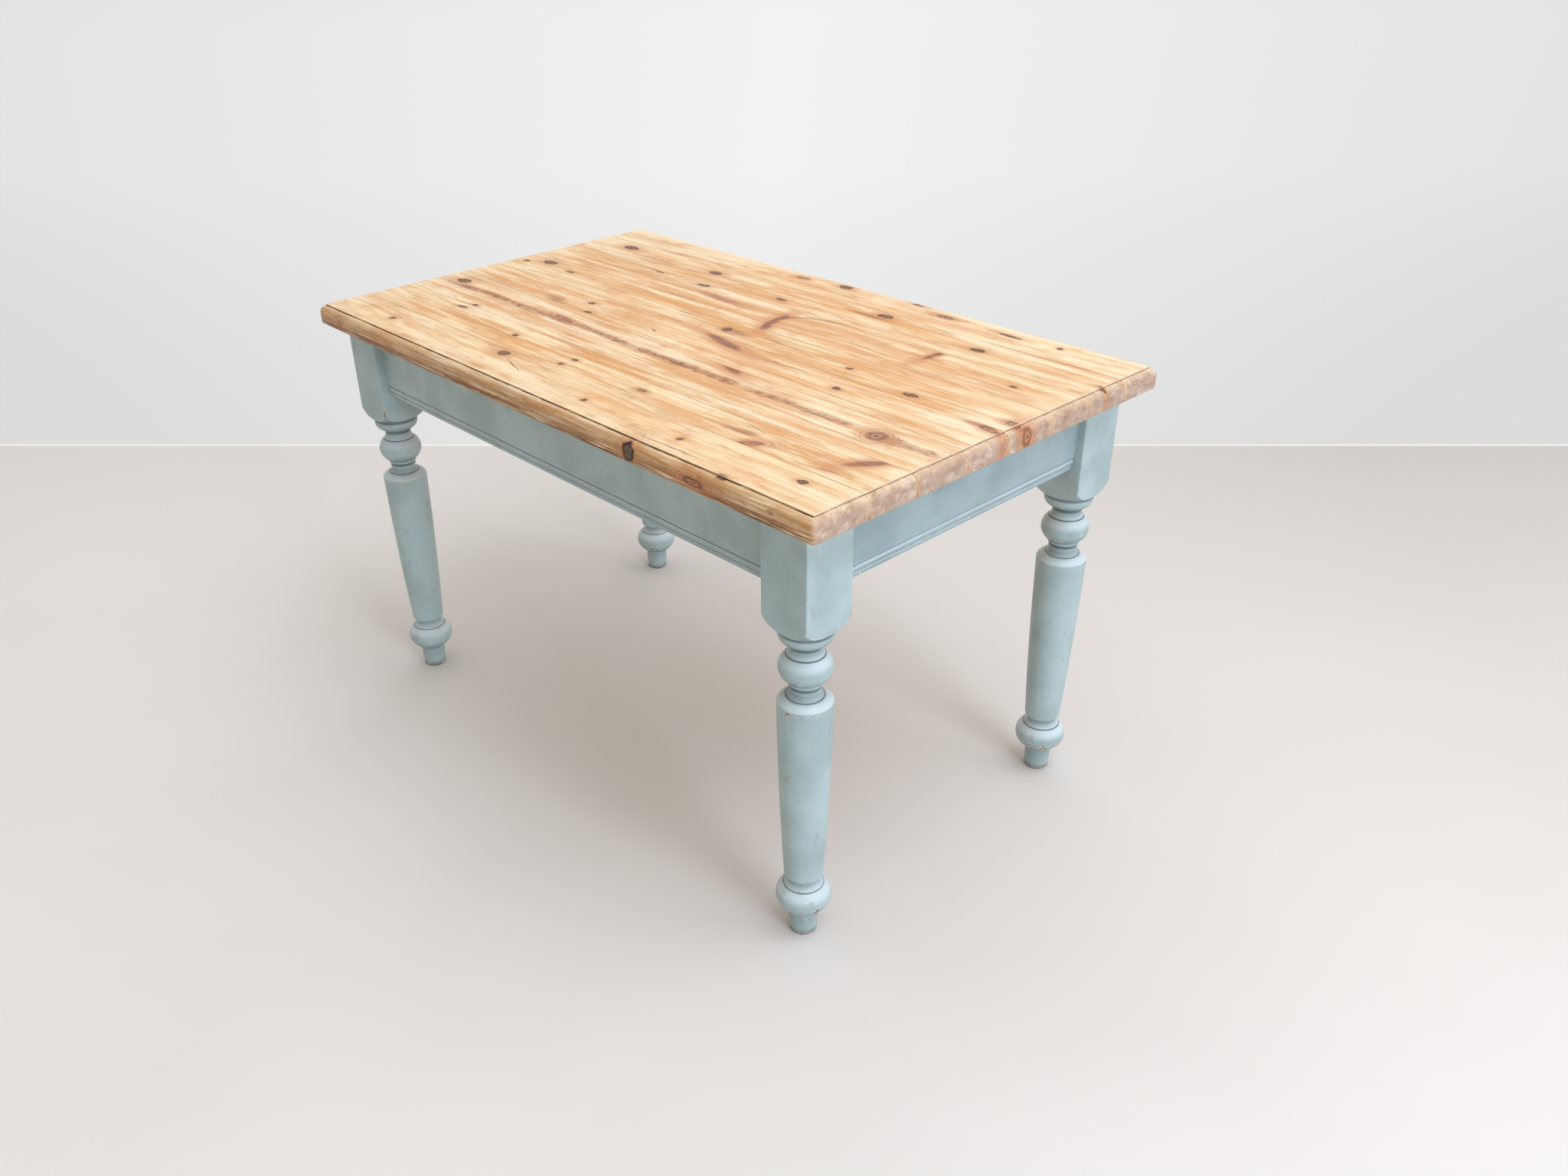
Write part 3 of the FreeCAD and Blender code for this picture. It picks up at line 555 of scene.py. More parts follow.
def paintMaterial(name, s):
    # Eggshell paint, brushed over pine and worn with use: the brush leaves fine lines along the piece,
    # the inner corners hold a little dirt and painted shade, the recesses of the turnings and the faces that
    # look down take painted shade, the faces that look up a painted highlight, and outer corners are rubbed
    # through to the primer and wood.
    # It gives the eye a soft, uneven colour with a low sheen.
    material, n = newMaterial(name)
    times, plus, between, given = nodeWords(n)
    place = n("VectorMath SCALE", n("TexCoord", out=3), inputs={"Scale": 1000.0})

    def noise(scales, detail=2.0, rough=0.5):
        stretched = n("VectorMath MULTIPLY", place, tuple(1 / k for k in scales))
        return n("TexNoise", stretched, inputs={"Scale": 1.0, "Detail": detail, "Roughness": rough})

    brush = noise(s["brush"], 4, 0.6)
    cloud = noise((90, 90, 90), 4)
    speck = noise((3.2, 3.2, 4.5), 3, 0.6)
    scuff = noise((16, 16, 34), 5, 0.7)
    chip = noise((9, 9, 15), 4, 0.62)
    edge = given("edge")
    recess = given("recess")
    # painted light: faces that look up are painted paler as a highlight from above, faces that look down
    # darker with painted shade
    facing = n("SeparateXYZ", n("TexCoord", out=1), out=2)
    # inner corners are darkened with dirt and painted shade
    hollowDirtAndShade = between(times(edge, -1.0), 0.0, 0.42)
    low = between(n("SeparateXYZ", place, out=2), 16, 1)
    # worn in places, not all round
    knocked = times(between(edge, 0.2, 1.0), between(cloud, 0.36, 0.62, 0.60, 1.08))
    bare = plus(chip, times(knocked, s["wear"]))
    wood = between(bare, 0.755, 0.79)
    colour = layered(
        n, s, "paint",
        (between(cloud, 0.36, 0.68, 0.0, 0.70), "shade"),
        (between(brush, 0.46, 0.70, 0.0, 0.12), "light"),
        (between(facing, 0.08, 0.62, 0.0, 0.88), "bleached"),
        (between(facing, -0.10, -0.75, 0.0, 0.60), "recess"),
        # painted shade in the recesses of the turnings
        (times(recess, 0.60), "recess"),
        (times(hollowDirtAndShade, between(cloud, 0.25, 0.6, 0.50, 0.82)), "dirt"),
        (times(between(speck, 0.70, 0.74), 0.65), "speck"),
        (times(between(scuff, 0.565, 0.72), 0.28), "speck"),
        (times(low, between(chip, 0.30, 0.60, 0.25, 0.90)), "floorDirt"),
        (times(between(bare, 0.70, 0.74), 0.75), "primer"),
        (wood, "wood"))
    bump = n("Bump", inputs={"Strength": 0.25, "Distance": 0.0005,
                             "Height": plus(times(brush, 0.22), times(wood, -0.9))})
    rough = plus(between(brush, 0.3, 0.7, 0.28, 0.38), times(wood, 0.3))
    shader = n("BsdfPrincipled", inputs={"Base Color": colour, "Roughness": rough, "Normal": bump,
                                         "Specular IOR Level": 0.45})
    n("OutputMaterial", shader)
    return material


paintTones = dict(
    paint="#ADBFC0", shade="#93A6A6", light="#C4D1D2", dirt="#4E5957", recess="#6F8082", bleached="#CFDADD",
    primer="#D9D8CE", wood="#8A6646", speck="#80664F", floorDirt="#6B5B4C", wear=0.31, brush=(3, 3, 120))
paintUpright = paintMaterial("eggshell_paint_brushed_upright", paintTones)
paintAlongX = paintMaterial("eggshell_paint_brushed_lengthwise", dict(
    paintTones, paint="#AFC1C0", shade="#93A6A4", brush=(140, 3, 3), wear=0.08))
# painted shade: the end aprons take a darker paint, for the shadow of the top's overhang
shadedPaintAlongY = paintMaterial("eggshell_paint_brushed_crosswise_shaded", dict(
    paintTones, paint="#9AADB0", shade="#82959A", brush=(3, 140, 3), wear=0.08))
quarterTurn = math.pi / 2
bareAlongX = pineMaterial("bare_pine_sawn_lengthwise", barePine)
bareAlongY = pineMaterial("bare_pine_sawn_crosswise", dict(barePine, turn=(0, 0, -quarterTurn), seed=3.0))
bareUpright = pineMaterial("bare_pine_sawn_upright", dict(
    barePine, turn=(0, quarterTurn, 0), seed=4.0, heart=(260, 60)))
print("paint and bare wood mixed")


# the top: eight planks with a moulded rim
topSet = dict(quirkInset=11.0, quirkDrop=2.5, roundDrop=17.0, lowerRadius=4.0, cornerRadius=7.0,
              jointEase=0.12, cupping=0.22, along=78, across=10, inCorner=6)

# Each plank: the heart line's offset from the plank's middle and its height, its slope along the table,
# the ring width and the marks of each kind: x, y, half length and half width, and where they aren't
# the usual ones, the turn in degrees, the height and the half depth.
plankSet = [
    dict(heart=(14, 742), tilt=(0.004, 0.0), ringWidth=4.3, seed=11.3, lateShare=0.78, pale="#FBE0B6",
         warm="#F2C68E", marks=dict(
        dark=[(-156, -297, 13, 9), (-459, -328, 7, 5), (458, -372, 9, 4, 0, 770, 8), (546, -311, 9, 6, 10),
              (108, -333, 6, 5), (324, -330, 5, 4)],
        crack=[(-100, -318, 40, 1.0, -18), (330, -358, 75, 0.9, 3)],
        black=[(273, -381, 13, 26, 0, 751, 15)],
        red=[(-560, -352, 12, 20, 0, 748, 9), (410, -383, 22, 14, 0, 749, 6)])),
    dict(heart=(-30, 716), tilt=(0.006, 0.01), ringWidth=3.7, seed=12.7, lateShare=0.74, pale="#FCE3BC",
         warm="#F2C78F", marks=dict(
        dark=[(-220, -231, 7, 5), (-46, -262, 6, 4), (-45, -236, 7, 4), (-425, -205, 12, 4, 12)],
        red=[(139, -248, 9, 5), (405, -272, 19, 7, 35)],
        streak=[(360, -250, 42, 10, 12), (543, -264, 30, 5, 8)],
        crack=[(372, -228, 28, 1.0, -14)],
        bark=[(566, -210, 32, 9, 50)])),
    dict(heart=(10, 766), tilt=(-0.004, 0.0), ringWidth=3.6, seed=13.1, heartWide=13.0, wander=16.0,
         pale="#FDE7C5", warm="#F2C796", marks=dict(
        dark=[(-566, -112, 17, 11, 8), (-416, -184, 8, 4)],
        streak=[(-515, -132, 62, 12, 4), (-240, -126, 58, 12, -6)],
        red=[(-232, -120, 26, 6, -8), (511, -132, 15, 14)],
        bark=[(166, -87, 32, 9, -17)],
        crack=[(90, -131, 60, 1.0, 1), (400, -134, 46, 1.1, 2), (-330, -137, 55, 1.0, -3)])),
    dict(heart=(-42, 700), tilt=(0.004, -0.006), ringWidth=3.9, seed=14.9, pale="#FCE2BC", warm="#EFC18C",
         marks=dict(
        dark=[(-270, -30, 8, 6), (-233, -67, 9, 4), (344, -36, 8, 5)],
        streak=[(-341, -59, 44, 16, -10), (578, -2, 30, 8, 5)],
        bark=[(62, -9, 56, 9.5, -13)],
        crack=[(-69, -52, 9, 1.8), (200, -20, 85, 0.9, 2)],
        red=[(606, -5, 18, 7, -10)])),
    dict(heart=(36, 722), tilt=(-0.006, 0.004), ringWidth=4.1, seed=15.2, pale="#FAE0B8", warm="#EBBA80",
         marks=dict(
        dark=[(-549, 79, 18, 10), (-597, 55, 7, 5), (-464, 65, 9, 4), (17, 39, 8, 9), (299, 42, 7, 4),
              (442, 20, 13, 6, 6)],
        crack=[(30, 45, 34, 1.6, 6), (-109, 50, 24, 1.2, 3), (140, 50, 70, 1.0, -2)],
        bark=[(50, 104, 27, 9, 112)],
        red=[(619, 35, 13, 7), (634, 46, 14, 10, 0, 752, 15)],
        streak=[(40, 36, 46, 14, 4)])),
    dict(heart=(-20, 690), tilt=(0.002, 0.008), ringWidth=3.6, seed=16.8, pale="#F9DDB4", warm="#EAB67C",
         deep="#D9995C", marks=dict(
        dark=[(-336, 186, 12, 3), (-206, 185, 15, 5, 6), (530, 153, 6, 4)],
        arc=[(150, 132, 112, 62)],
        bark=[(43, 132, 36, 9, 100), (355, 186, 34, 6.5, 84)],
        streak=[(-120, 150, 85, 15, -4)],
        crack=[(250, 130, 60, 1.1, -3)])),
    dict(heart=(28, 748), tilt=(0.003, 0.0), ringWidth=4.2, seed=17.4, pale="#FCE5C2", warm="#EFC38C",
         marks=dict(
        dark=[(-517, 261, 20, 10), (-251, 255, 15, 9), (-38, 222, 11, 5), (165, 277, 15, 9),
              (388, 247, 14, 7), (625, 242, 6, 4)],
        crack=[(130, 262, 60, 1.1, -2), (340, 238, 52, 1.2, 4), (-420, 240, 70, 1.0, 2)],
        streak=[(145, 262, 54, 8)])),
    dict(heart=(-12, 738), tilt=(-0.003, 0.0), ringWidth=4.5, seed=18.6, pale="#FEE8C6", warm="#F2C993",
         marks=dict(
        dark=[(-4, 357, 14, 8), (163, 366, 12, 3), (383, 340, 22, 4, -3), (479, 343, 6, 4)],
        red=[(-106, 347, 14, 6), (240, 346, 17, 6)],
        crack=[(-330, 330, 90, 1.1, 1), (20, 318, 60, 1.0, -1)])),
]


def rimSection(s, thick):
    # section of the moulded rim as (distance out from the flat, height): flat, sunk step, rounded edge,
    # square edge, softened lower arris
    inset, low = s["quirkInset"], -(thick - s["lowerRadius"])
    start = (0, -s["quirkDrop"])
    line = outline((-1.2, 0), (0, 0), start, quarter(*start, inset, -s["roundDrop"], -1), (inset, low),
                   quarter(inset, low, inset - s["lowerRadius"], -thick, -1),
                   (inset - s["lowerRadius"] - 8, -thick))
    return softened(line, 0.7)


def plankSurface(s, low, high, height, thick, moulded):
    # A plank is a stack of plan outlines. point(u, t): u runs round a rectangle with rounded corners, t runs
    # down the rim's section, which gives the outline's inset and height. Above and below, the outlines
    # close in on the plank's middle line.
    section, edge = rimSection(s, thick)
    inset = np.maximum(s["quirkInset"] - section[:, 0], 0.0)
    z = height + section[:, 1]
    # an unmoulded side is upright, and follows the rim's rows a little way in on the two flats
    rowEdge = np.where(section[:, 1] > -1, s["quirkInset"], s["lowerRadius"])
    onFlat = (section[:, 1] > -1e-6) | (section[:, 1] < 1e-6 - thick)
    joint = np.interp(section[:, 1], [-1.4, -0.5, 0], [0, 0.12, s["jointEase"]])
    joint = joint + np.where(onFlat, 0.06 * np.maximum(inset - rowEdge, 0), 0)
    lowInset = inset if moulded[0] else joint
    highInset = inset if moulded[1] else joint
    normal = np.gradient(section, axis=0)
    upright = np.abs(normal[:, 1]) / np.maximum(np.hypot(*normal.T), 1e-9)

    # rings that close in from the first and from the last row, as shares of the half width there
    halfTop = ((high - highInset[0]) - (low + lowInset[0])) / 2
    halfUnder = ((high - highInset[-1]) - (low + lowInset[-1])) / 2
    closing = np.array([1.0, 0.66, 0.4, 0.2, 0.08]) * halfTop
    under = np.array([0.1, 0.4, 1.0]) * halfUnder
    endRow, lowRow, highRow = (np.concatenate([closing + row[0], row, under + row[-1]])
                               for row in (inset, lowInset, highInset))
    zRow = np.concatenate([np.full(len(closing), z[0]), z, np.full(len(under), z[-1])])
    edgeRow, uprightRow = (np.pad(row, (len(closing), len(under))) for row in (edge, upright))
    halfX = s["halfLength"]
    x0, x1 = -halfX + endRow, halfX - endRow
    y0, y1 = low + lowRow, high - highRow
    room = np.minimum(x1 - x0, y1 - y0) / 2
    radiusLow = np.clip(np.where(moulded[0], s["cornerRadius"] - 0.45 * lowRow, 0.0), 0, room)
    radiusHigh = np.clip(np.where(moulded[1], s["cornerRadius"] - 0.45 * highRow, 0.0), 0, room)

    # corners in turn: right front, right rear, left rear, left front
    corners = ((x1, -1, y0, 1, radiusLow, -90), (x1, -1, y1, -1, radiusHigh, 0),
               (x0, 1, y1, -1, radiusHigh, 90), (x0, 1, y0, 1, radiusLow, 180))
    share = np.linspace(0, 1, s["inCorner"])
    arcs = []
    for cx, sx, cy, sy, radius, start in corners:
        turn = np.radians(start + 90 * share)
        arcs.append(np.stack([(cx + sx * radius)[:, None] + radius[:, None] * np.cos(turn),
                              (cy + sy * radius)[:, None] + radius[:, None] * np.sin(turn)], -1))
    pieces, endShare, sideShare = [], [], []
    for k, count in enumerate((s["across"], s["along"], s["across"], s["along"])):
        a, b = arcs[k], arcs[(k + 1) % 4]
        t = np.linspace(0, 1, count + 2)[1:-1]
        pieces += [a, a[:, -1:] + (b[:, :1] - a[:, -1:]) * t[None, :, None]]
        toEnd = share if k in (0, 2) else 1 - share
        isEnd, isMould = k in (0, 2), moulded[1 if k == 1 else 0]
        endShare += [toEnd, np.full(count, float(isEnd))]
        sideShare += [1 - toEnd, np.full(count, 0.0 if isEnd else float(isMould))]
    plan = np.concatenate(pieces, 1)
    endShare, sideShare = np.concatenate(endShare), np.concatenate(sideShare)
    rimShare = np.maximum(endShare, sideShare)

    x, y = plan[..., 0], plan[..., 1]
    flat = (zRow > height - 0.01)[:, None]
    middle = (low + high) / 2
    dip = s["cupping"] * (0.5 + 0.5 * np.sin(x / 171 + s["seed"]) * np.cos((y - middle) / 31 + s["seed"]))
    points = np.stack([x, y, zRow[:, None] - np.where(flat, dip, 0)], -1)
    rim = np.broadcast_to(rimShare, x.shape)
    sunk = np.where(edgeRow < 0, 0.62, 1.0)[:, None] * endShare + sideShare     # the ends take less of the dirt and painted shade
    values = dict(edge=edgeRow[:, None] * np.minimum(sunk, rim),
                  endCut=uprightRow[:, None] ** 0.7 * endShare, sideCut=uprightRow[:, None] * sideShare)
    return points, {key: value.ravel() for key, value in values.items()}


def makeTop():
    low, high = np.array(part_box("top_plank_1")[0]) * 1000, np.array(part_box("top_plank_8")[1]) * 1000
    edges = [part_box("top_plank_%d" % k)[0][1] * 1000 for k in range(1, 9)] + [high[1]]
    for k, plank in enumerate(plankSet):
        y0, y1 = edges[k], edges[k + 1]
        s = dict(topSet, halfLength=high[0], seed=plank["seed"])
        points, values = plankSurface(s, y0, y1, high[2], high[2] - low[2], (k == 0, k == 7))
        rows, columns = points.shape[:2]
        quads = gridQuads(rows, columns)
        material = pineMaterial("waxed_pine_planed_plank_%d" % (k + 1), dict(
            pineTones, **dict(plank, heart=((y0 + y1) / 2 + plank["heart"][0], plank["heart"][1])),
            table=(high[0], high[1], [e for e in (y0, y1) if abs(e) < high[1] - 1], low[2])))
        under = np.repeat(np.arange(rows - 1) >= rows - 5, columns)
        putPiece("plank_%d" % (k + 1), points.reshape(-1, 3), quads, [material, bareAlongX], "frame",
                 ["top_plank_%d" % (k + 1)], under.astype(int), values)


makeTop()
print("top laid")


legSet = dict(
    half=44.0, arris=2.2, blockTop=734.0, blockBottom=557.0, shoulderRise=20.0, shoulderBulge=3.8,
    reach=62.2, collar=40.0, collarBand=8.0, collarRound=16.5, collarLip=27.0, neck=24.0, neckHeight=9.5,
    ring=28.0, ringHeight=9.5, ringRound=1.1, quirk=1.3, ball=39.5, ballHeight=44.5, ballFoot=25.5,
    beadlet=26.0, beadletHeight=6.0, throat=23.7, throatHeight=7.0, saucer=27.4, saucerHeight=12.0,
    shoulderHeight=9.5, shoulderRound=1.9, shaftTop=41.5, shaftFoot=30.5, shaftSwell=1.8, shaftEnd=4.0,
    cove=15.5, coveTop=26.4, footBead=43.5, footBeadHeight=48.5, footBeadTop=31.0, footBeadBase=26.0,
    toeHeight=48.0, toeTop=23.6, toeFoot=21.5, toeEase=2.5, perSide=17, inArris=6,
    # where hands, brooms and shoes wear the paint: height, spread and how much
    wornAt=((3, 6, 0.72), (62, 17, 0.68), (430, 6, 0.66), (478, 10, 0.62), (505, 5, 0.36), (540, 5, 0.40)))


def legSection(s):
    # outline of the turned part as (radius, height), from under the block down to the floor
    z = s["blockBottom"]
    steps = [(s["collar"], z), (s["collar"], z - s["collarBand"])]
    z -= s["collarBand"]
    steps.append(quarter(s["collar"], z, s["collarLip"], z - s["collarRound"], -1))
    z -= s["collarRound"]
    steps += [(s["neck"], z), (s["neck"], z - s["neckHeight"])]
    z -= s["neckHeight"] + s["ringHeight"]
    steps += [(s["ring"], z, s["ringRound"]), (s["ring"] - s["quirk"], z)]
    z -= s["ballHeight"]
    rise = s["ball"] - (s["ring"] - s["quirk"] + s["ballFoot"]) / 2
    steps += [(s["ballFoot"], z, -rise), (s["throat"], z)]
    z -= s["beadletHeight"]
    steps.append((s["throat"], z, s["throat"] - s["beadlet"]))
    z -= s["throatHeight"]
    steps.append((s["throat"], z))
    steps.append(quarter(s["throat"], z, s["saucer"], z - s["saucerHeight"]))
    z -= s["saucerHeight"]
    steps.append((s["saucer"] - s["quirk"], z))
    z -= s["shoulderHeight"]
    steps.append((s["shaftTop"], z, -s["shoulderRound"]))
    z = s["toeHeight"] + s["footBeadHeight"] + s["cove"]
    steps.append((s["shaftFoot"], z + s["shaftEnd"], -s["shaftSwell"]))
    steps.append(quarter(s["shaftFoot"], z + s["shaftEnd"], s["coveTop"], z, -1))
    steps.append((s["coveTop"] - s["quirk"], z))
    z -= s["cove"]
    steps.append(quarter(s["coveTop"] - s["quirk"], z + s["cove"], s["footBeadTop"], z))
    steps.append((s["footBeadTop"] - s["quirk"], z))
    rise = s["footBead"] - (s["footBeadTop"] - s["quirk"] + s["footBeadBase"]) / 2
    steps += [(s["footBeadBase"], s["toeHeight"], -rise), (s["toeTop"], s["toeHeight"]),
              (s["toeFoot"], s["toeEase"]), (s["toeFoot"] - s["toeEase"] / 2, 0)]
    return softened(outline((s["collar"] + s["quirk"], s["blockBottom"]), *steps), 0.9, guard=3.0)


def legSurface(s):
    # point(u, t): u runs round a square with rounded corners, t runs down the leg. On the block the point
    # lies on the square; below it, at the same angle, on a circle whose radius the turning gives. The
    # two meet where the turned shoulder reaches the square.
    h, a = s["half"], s["arris"]
    turn = np.linspace(-math.pi / 4, math.pi / 4, s["perSide"] + 2)[1:-1] * 0.985
    side = np.stack([np.full(len(turn), h), h * np.tan(turn)], -1)
    side[:, 1] = np.clip(side[:, 1], -(h - a), h - a)
    bend = np.linspace(0, math.pi / 2, s["inArris"])
    arris = np.stack([h - a + a * np.cos(bend), h - a + a * np.sin(bend)], -1)
    oneSide = np.concatenate([side, arris])
    onArris = np.concatenate([np.zeros(len(side)), np.sin(np.linspace(0, math.pi, len(arris))) * 0.55 + 0.4])
    square = np.concatenate([oneSide @ np.array([[c, d], [-d, c]])
                             for c, d in ((1, 0), (0, 1), (-1, 0), (0, -1))])
    onArris = np.tile(onArris, 4)
    reach = np.hypot(*square.T)
    unit = square / reach[:, None]

    rise = outline((s["collar"] + s["quirk"], s["blockBottom"]),
                   (s["reach"], s["blockBottom"] + s["shoulderRise"], s["shoulderBulge"]))
    meet = np.interp(reach, rise[:, 0], rise[:, 1])
    down = np.array([1.0, 0.985, 0.8, 0.6, 0.4, 0.2, 0.06, 0.0])[:, None]
    blockZ = meet + (s["blockTop"] - meet) * down
    block = np.concatenate([np.broadcast_to(square, (len(down), *square.shape)), blockZ[..., None]], -1)
    fall = np.array([0.93, 0.75, 0.5, 0.25, 0.0])[:, None]
    shoulderZ = s["blockBottom"] + (meet - s["blockBottom"]) * fall
    shoulderR = np.interp(shoulderZ, rise[:, 1], rise[:, 0])
    shoulder = np.concatenate([unit * shoulderR[..., None], shoulderZ[..., None]], -1)
    section, edge = legSection(s)
    ringR, ringZ = section[1:, 0], section[1:, 1]
    rings = np.concatenate([unit * ringR[:, None, None],
                            np.broadcast_to(ringZ[:, None, None], (len(ringZ), len(unit), 1))], -1)
    top, foot = block[:1] * [[0, 0, 1]], rings[-1:] * [[0, 0, 1]]
    points = np.concatenate([top, block, shoulder, rings, foot])
    creaseEdge = np.clip((reach - 46) / 8, 0, 0.7)
    blockEdge = onArris * 0.8 * np.array([0, 0.5, 0.5, 0.6, 0.8, 1, 1.2, 1.2])[:, None]
    blockEdge[-1] = np.maximum(blockEdge[-1], creaseEdge)
    shoulderEdge = np.zeros((len(fall), len(reach)))
    shoulderEdge[-1] = -0.5
    height, spread, amount = (np.array(column)[:, None] for column in zip(*s["wornAt"]))
    worn = (amount * np.exp(-((ringZ - height) / spread) ** 2)).max(0)
    ringEdge = np.where(edge[1:] < 0, edge[1:], np.maximum(edge[1:] * 0.45, worn))
    ringEdge = np.broadcast_to(ringEdge[:, None], (len(ringZ), len(reach)))
    footEdge = np.zeros((1, len(reach)))
    values = np.concatenate([footEdge, blockEdge, shoulderEdge, ringEdge, footEdge])
    # how far the turning stands back from its own running mean over 22 mm: painted shade darkens it there
    even = np.arange(ringZ[-1], ringZ[0], 0.5)
    turned = np.interp(even, ringZ[::-1], ringR[::-1])
    mean = np.convolve(np.pad(turned, 22, "edge"), np.full(45, 1 / 45), "valid")
    back = np.clip((np.interp(ringZ, even, mean - turned) - 0.4) / 4.0, 0, 1)
    recess = np.zeros_like(values)
    recess[-len(ringZ) - 1:-1] = back[:, None]
    return points, values, recess


def makeLegs(s):
    points, edge, recess = legSurface(s)
    rows, columns = points.shape[:2]
    quads = gridQuads(rows, columns)
    bare = np.repeat((np.arange(rows - 1) == 0) | (np.arange(rows - 1) == rows - 2), columns)
    for side in ("left", "right"):
        for row in ("front", "rear"):
            node = "leg_%s_%s" % (row, side)
            low, high = (np.array(corner) * 1000 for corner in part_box(node))
            middle = (low + high) / 2
            placed = points + [middle[0], middle[1], 0]
            putPiece("turned_" + node, placed.reshape(-1, 3), quads, [paintUpright, bareUpright], "frame",
                     [node], bare.astype(int), dict(edge=edge.ravel(), recess=recess.ravel()))


makeLegs(legSet)
print("legs turned")


# aprons and the rail under the drawers
boardSet = dict(bottom=615.0, top=734.0, railTop=646.0, thick=22.0, railDeep=45.0, faceX=578.5, faceY=336.0,
                halfX=506.0, halfY=263.5,
                beadWide=10.5, beadQuirk=2.2, beadQuirkDeep=3.0, strip=7.0, stripBack=2.5,
                grooveLow=715.5, grooveHigh=724.5, grooveDeep=9.5, intoLeg=1.5, stations=36,
                waver=0.25, waverLength=97.0)     # the face isn't quite flat


def boardSection(s, thick, top, grooved):
    # section of a board as (depth behind the face, height): strip, bead, sunk line, plain face, back
    beadLow = s["bottom"] + s["strip"]
    beadHigh = beadLow + s["beadWide"]
    r = s["beadWide"] / 2
    steps = [(s["stripBack"], beadLow - s["beadQuirk"] / 2), (r, beadLow), (r, beadHigh, -r + 0.01),
             (s["beadQuirkDeep"] + 1.2, beadHigh), (s["beadQuirkDeep"], beadHigh + s["beadQuirk"]),
             (0, beadHigh + s["beadQuirk"]), (0, top), (thick, top)]
    if grooved:
        steps += [(thick, s["grooveHigh"]), (thick - s["grooveDeep"], s["grooveHigh"]),
                  (thick - s["grooveDeep"], s["grooveLow"]), (thick, s["grooveLow"])]
    steps.append((thick, s["bottom"]))
    return softened(outline((s["stripBack"], s["bottom"]), *steps), 0.6, closed=True, guard=2.8)


def makeBoard(s, name, node, span, face, turn, thick, top, paint, bare, grooved=False):
    # The section carried along a straight line: point(u, t) = (t along, depth behind the face, height),
    # turned about the upright axis to its side of the table.
    section, edge = boardSection(s, thick, top, grooved)
    along = np.linspace(-span - s["intoLeg"], span + s["intoLeg"], s["stations"])
    count = len(section)
    waver = s["waver"] * np.abs(np.sin(along / s["waverLength"] + turn))[:, None] * (section[:, 0] < 0.5)
    x = np.repeat(along[:, None], count, 1)
    y = -face + section[:, 0] + waver
    z = np.broadcast_to(section[:, 1], x.shape)
    c, d = math.cos(math.radians(turn)), math.sin(math.radians(turn))
    points = np.stack([c * x - d * y, d * x + c * y, z], -1).reshape(-1, 3)
    quads = gridQuads(len(along), count)
    after = np.roll(section, -1, 0)
    depth, level = ((section + after) / 2).T
    back = (depth > s["stripBack"] + 4) & (level > s["bottom"] + 1)
    beadZone = (section[:, 1] < s["bottom"] + s["strip"] + s["beadWide"] + 4) & (section[:, 0] < 8)
    faceMaterial = np.tile((back & ~beadZone).astype(int), len(along) - 1)
    caps = [list(range(count)), list(range(len(points) - count, len(points)))]
    putPiece(name, points, quads.tolist() + caps, [paint, bare], "frame", [node],
             np.concatenate([faceMaterial, [0, 0]]), dict(edge=np.tile(edge, len(along))))


def makeBoards(s):
    makeBoard(s, "beaded_apron_front", "apron_front", s["halfX"], s["faceY"], 0, s["thick"], s["top"],
              paintAlongX, bareAlongX, True)
    for side, turn in (("right", 90), ("left", -90)):
        makeBoard(s, "beaded_apron_" + side, "apron_" + side, s["halfY"], s["faceX"], turn, s["thick"],
                  s["top"], shadedPaintAlongY, bareAlongY)
    makeBoard(s, "beaded_drawer_rail", "drawer_rail_bottom", s["halfX"], s["faceY"], 180, s["railDeep"],
              s["railTop"], paintAlongX, bareAlongX)


makeBoards(boardSet)
print("aprons run")


# boards that keep their sawn shape: the solid's own mesh, merged and with eased corners
easedSet = dict(ease=0.8, buttonEase=1.2, drawerEase=0.5, steps=2, sharpFrom=30.0, easeFrom=40.0,
                railFace=334.0, drawerFace=331.0)


def easedCopy(node, body, materials, ease, painted=None):
    # painted(centres, normals) tells which faces take the second material
    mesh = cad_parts[node].data.copy()
    mesh.name = node + "_eased"
    work = bmesh.new()
    work.from_mesh(mesh)
    bmesh.ops.remove_doubles(work, verts=work.verts, dist=2e-6)
    bmesh.ops.dissolve_limit(work, angle_limit=math.radians(0.5), verts=work.verts, edges=work.edges)
    work.to_mesh(mesh)
    work.free()
    mesh.materials.clear()
    for material in materials:
        mesh.materials.append(material)
    count = len(mesh.polygons)
    chosen = np.zeros(count, np.int32)
    if painted:
        centres, normals = np.zeros(count * 3, np.float32), np.zeros(count * 3, np.float32)
        mesh.polygons.foreach_get("center", centres)
        mesh.polygons.foreach_get("normal", normals)
        chosen = painted(centres.reshape(-1, 3) * 1000, normals.reshape(-1, 3)).astype(np.int32)
    mesh.polygons.foreach_set("material_index", chosen)
    mesh.shade_smooth()
    mesh.set_sharp_from_angle(angle=math.radians(easedSet["sharpFrom"]))
    piece = settle(bpy.data.objects.new(mesh.name, mesh), body, [node])
    bevel = piece.modifiers.new("eased", "BEVEL")
    bevel.width, bevel.segments, bevel.limit_method = ease / 1000, easedSet["steps"], "ANGLE"
    bevel.angle_limit = math.radians(easedSet["easeFrom"])
    return piece


def facesRear(face, steep, centres, normals):
    # the faces that look to the rear and lie beyond face, in mm from the middle of the table
    return (normals[:, 1] > steep) & (centres[:, 1] > face)


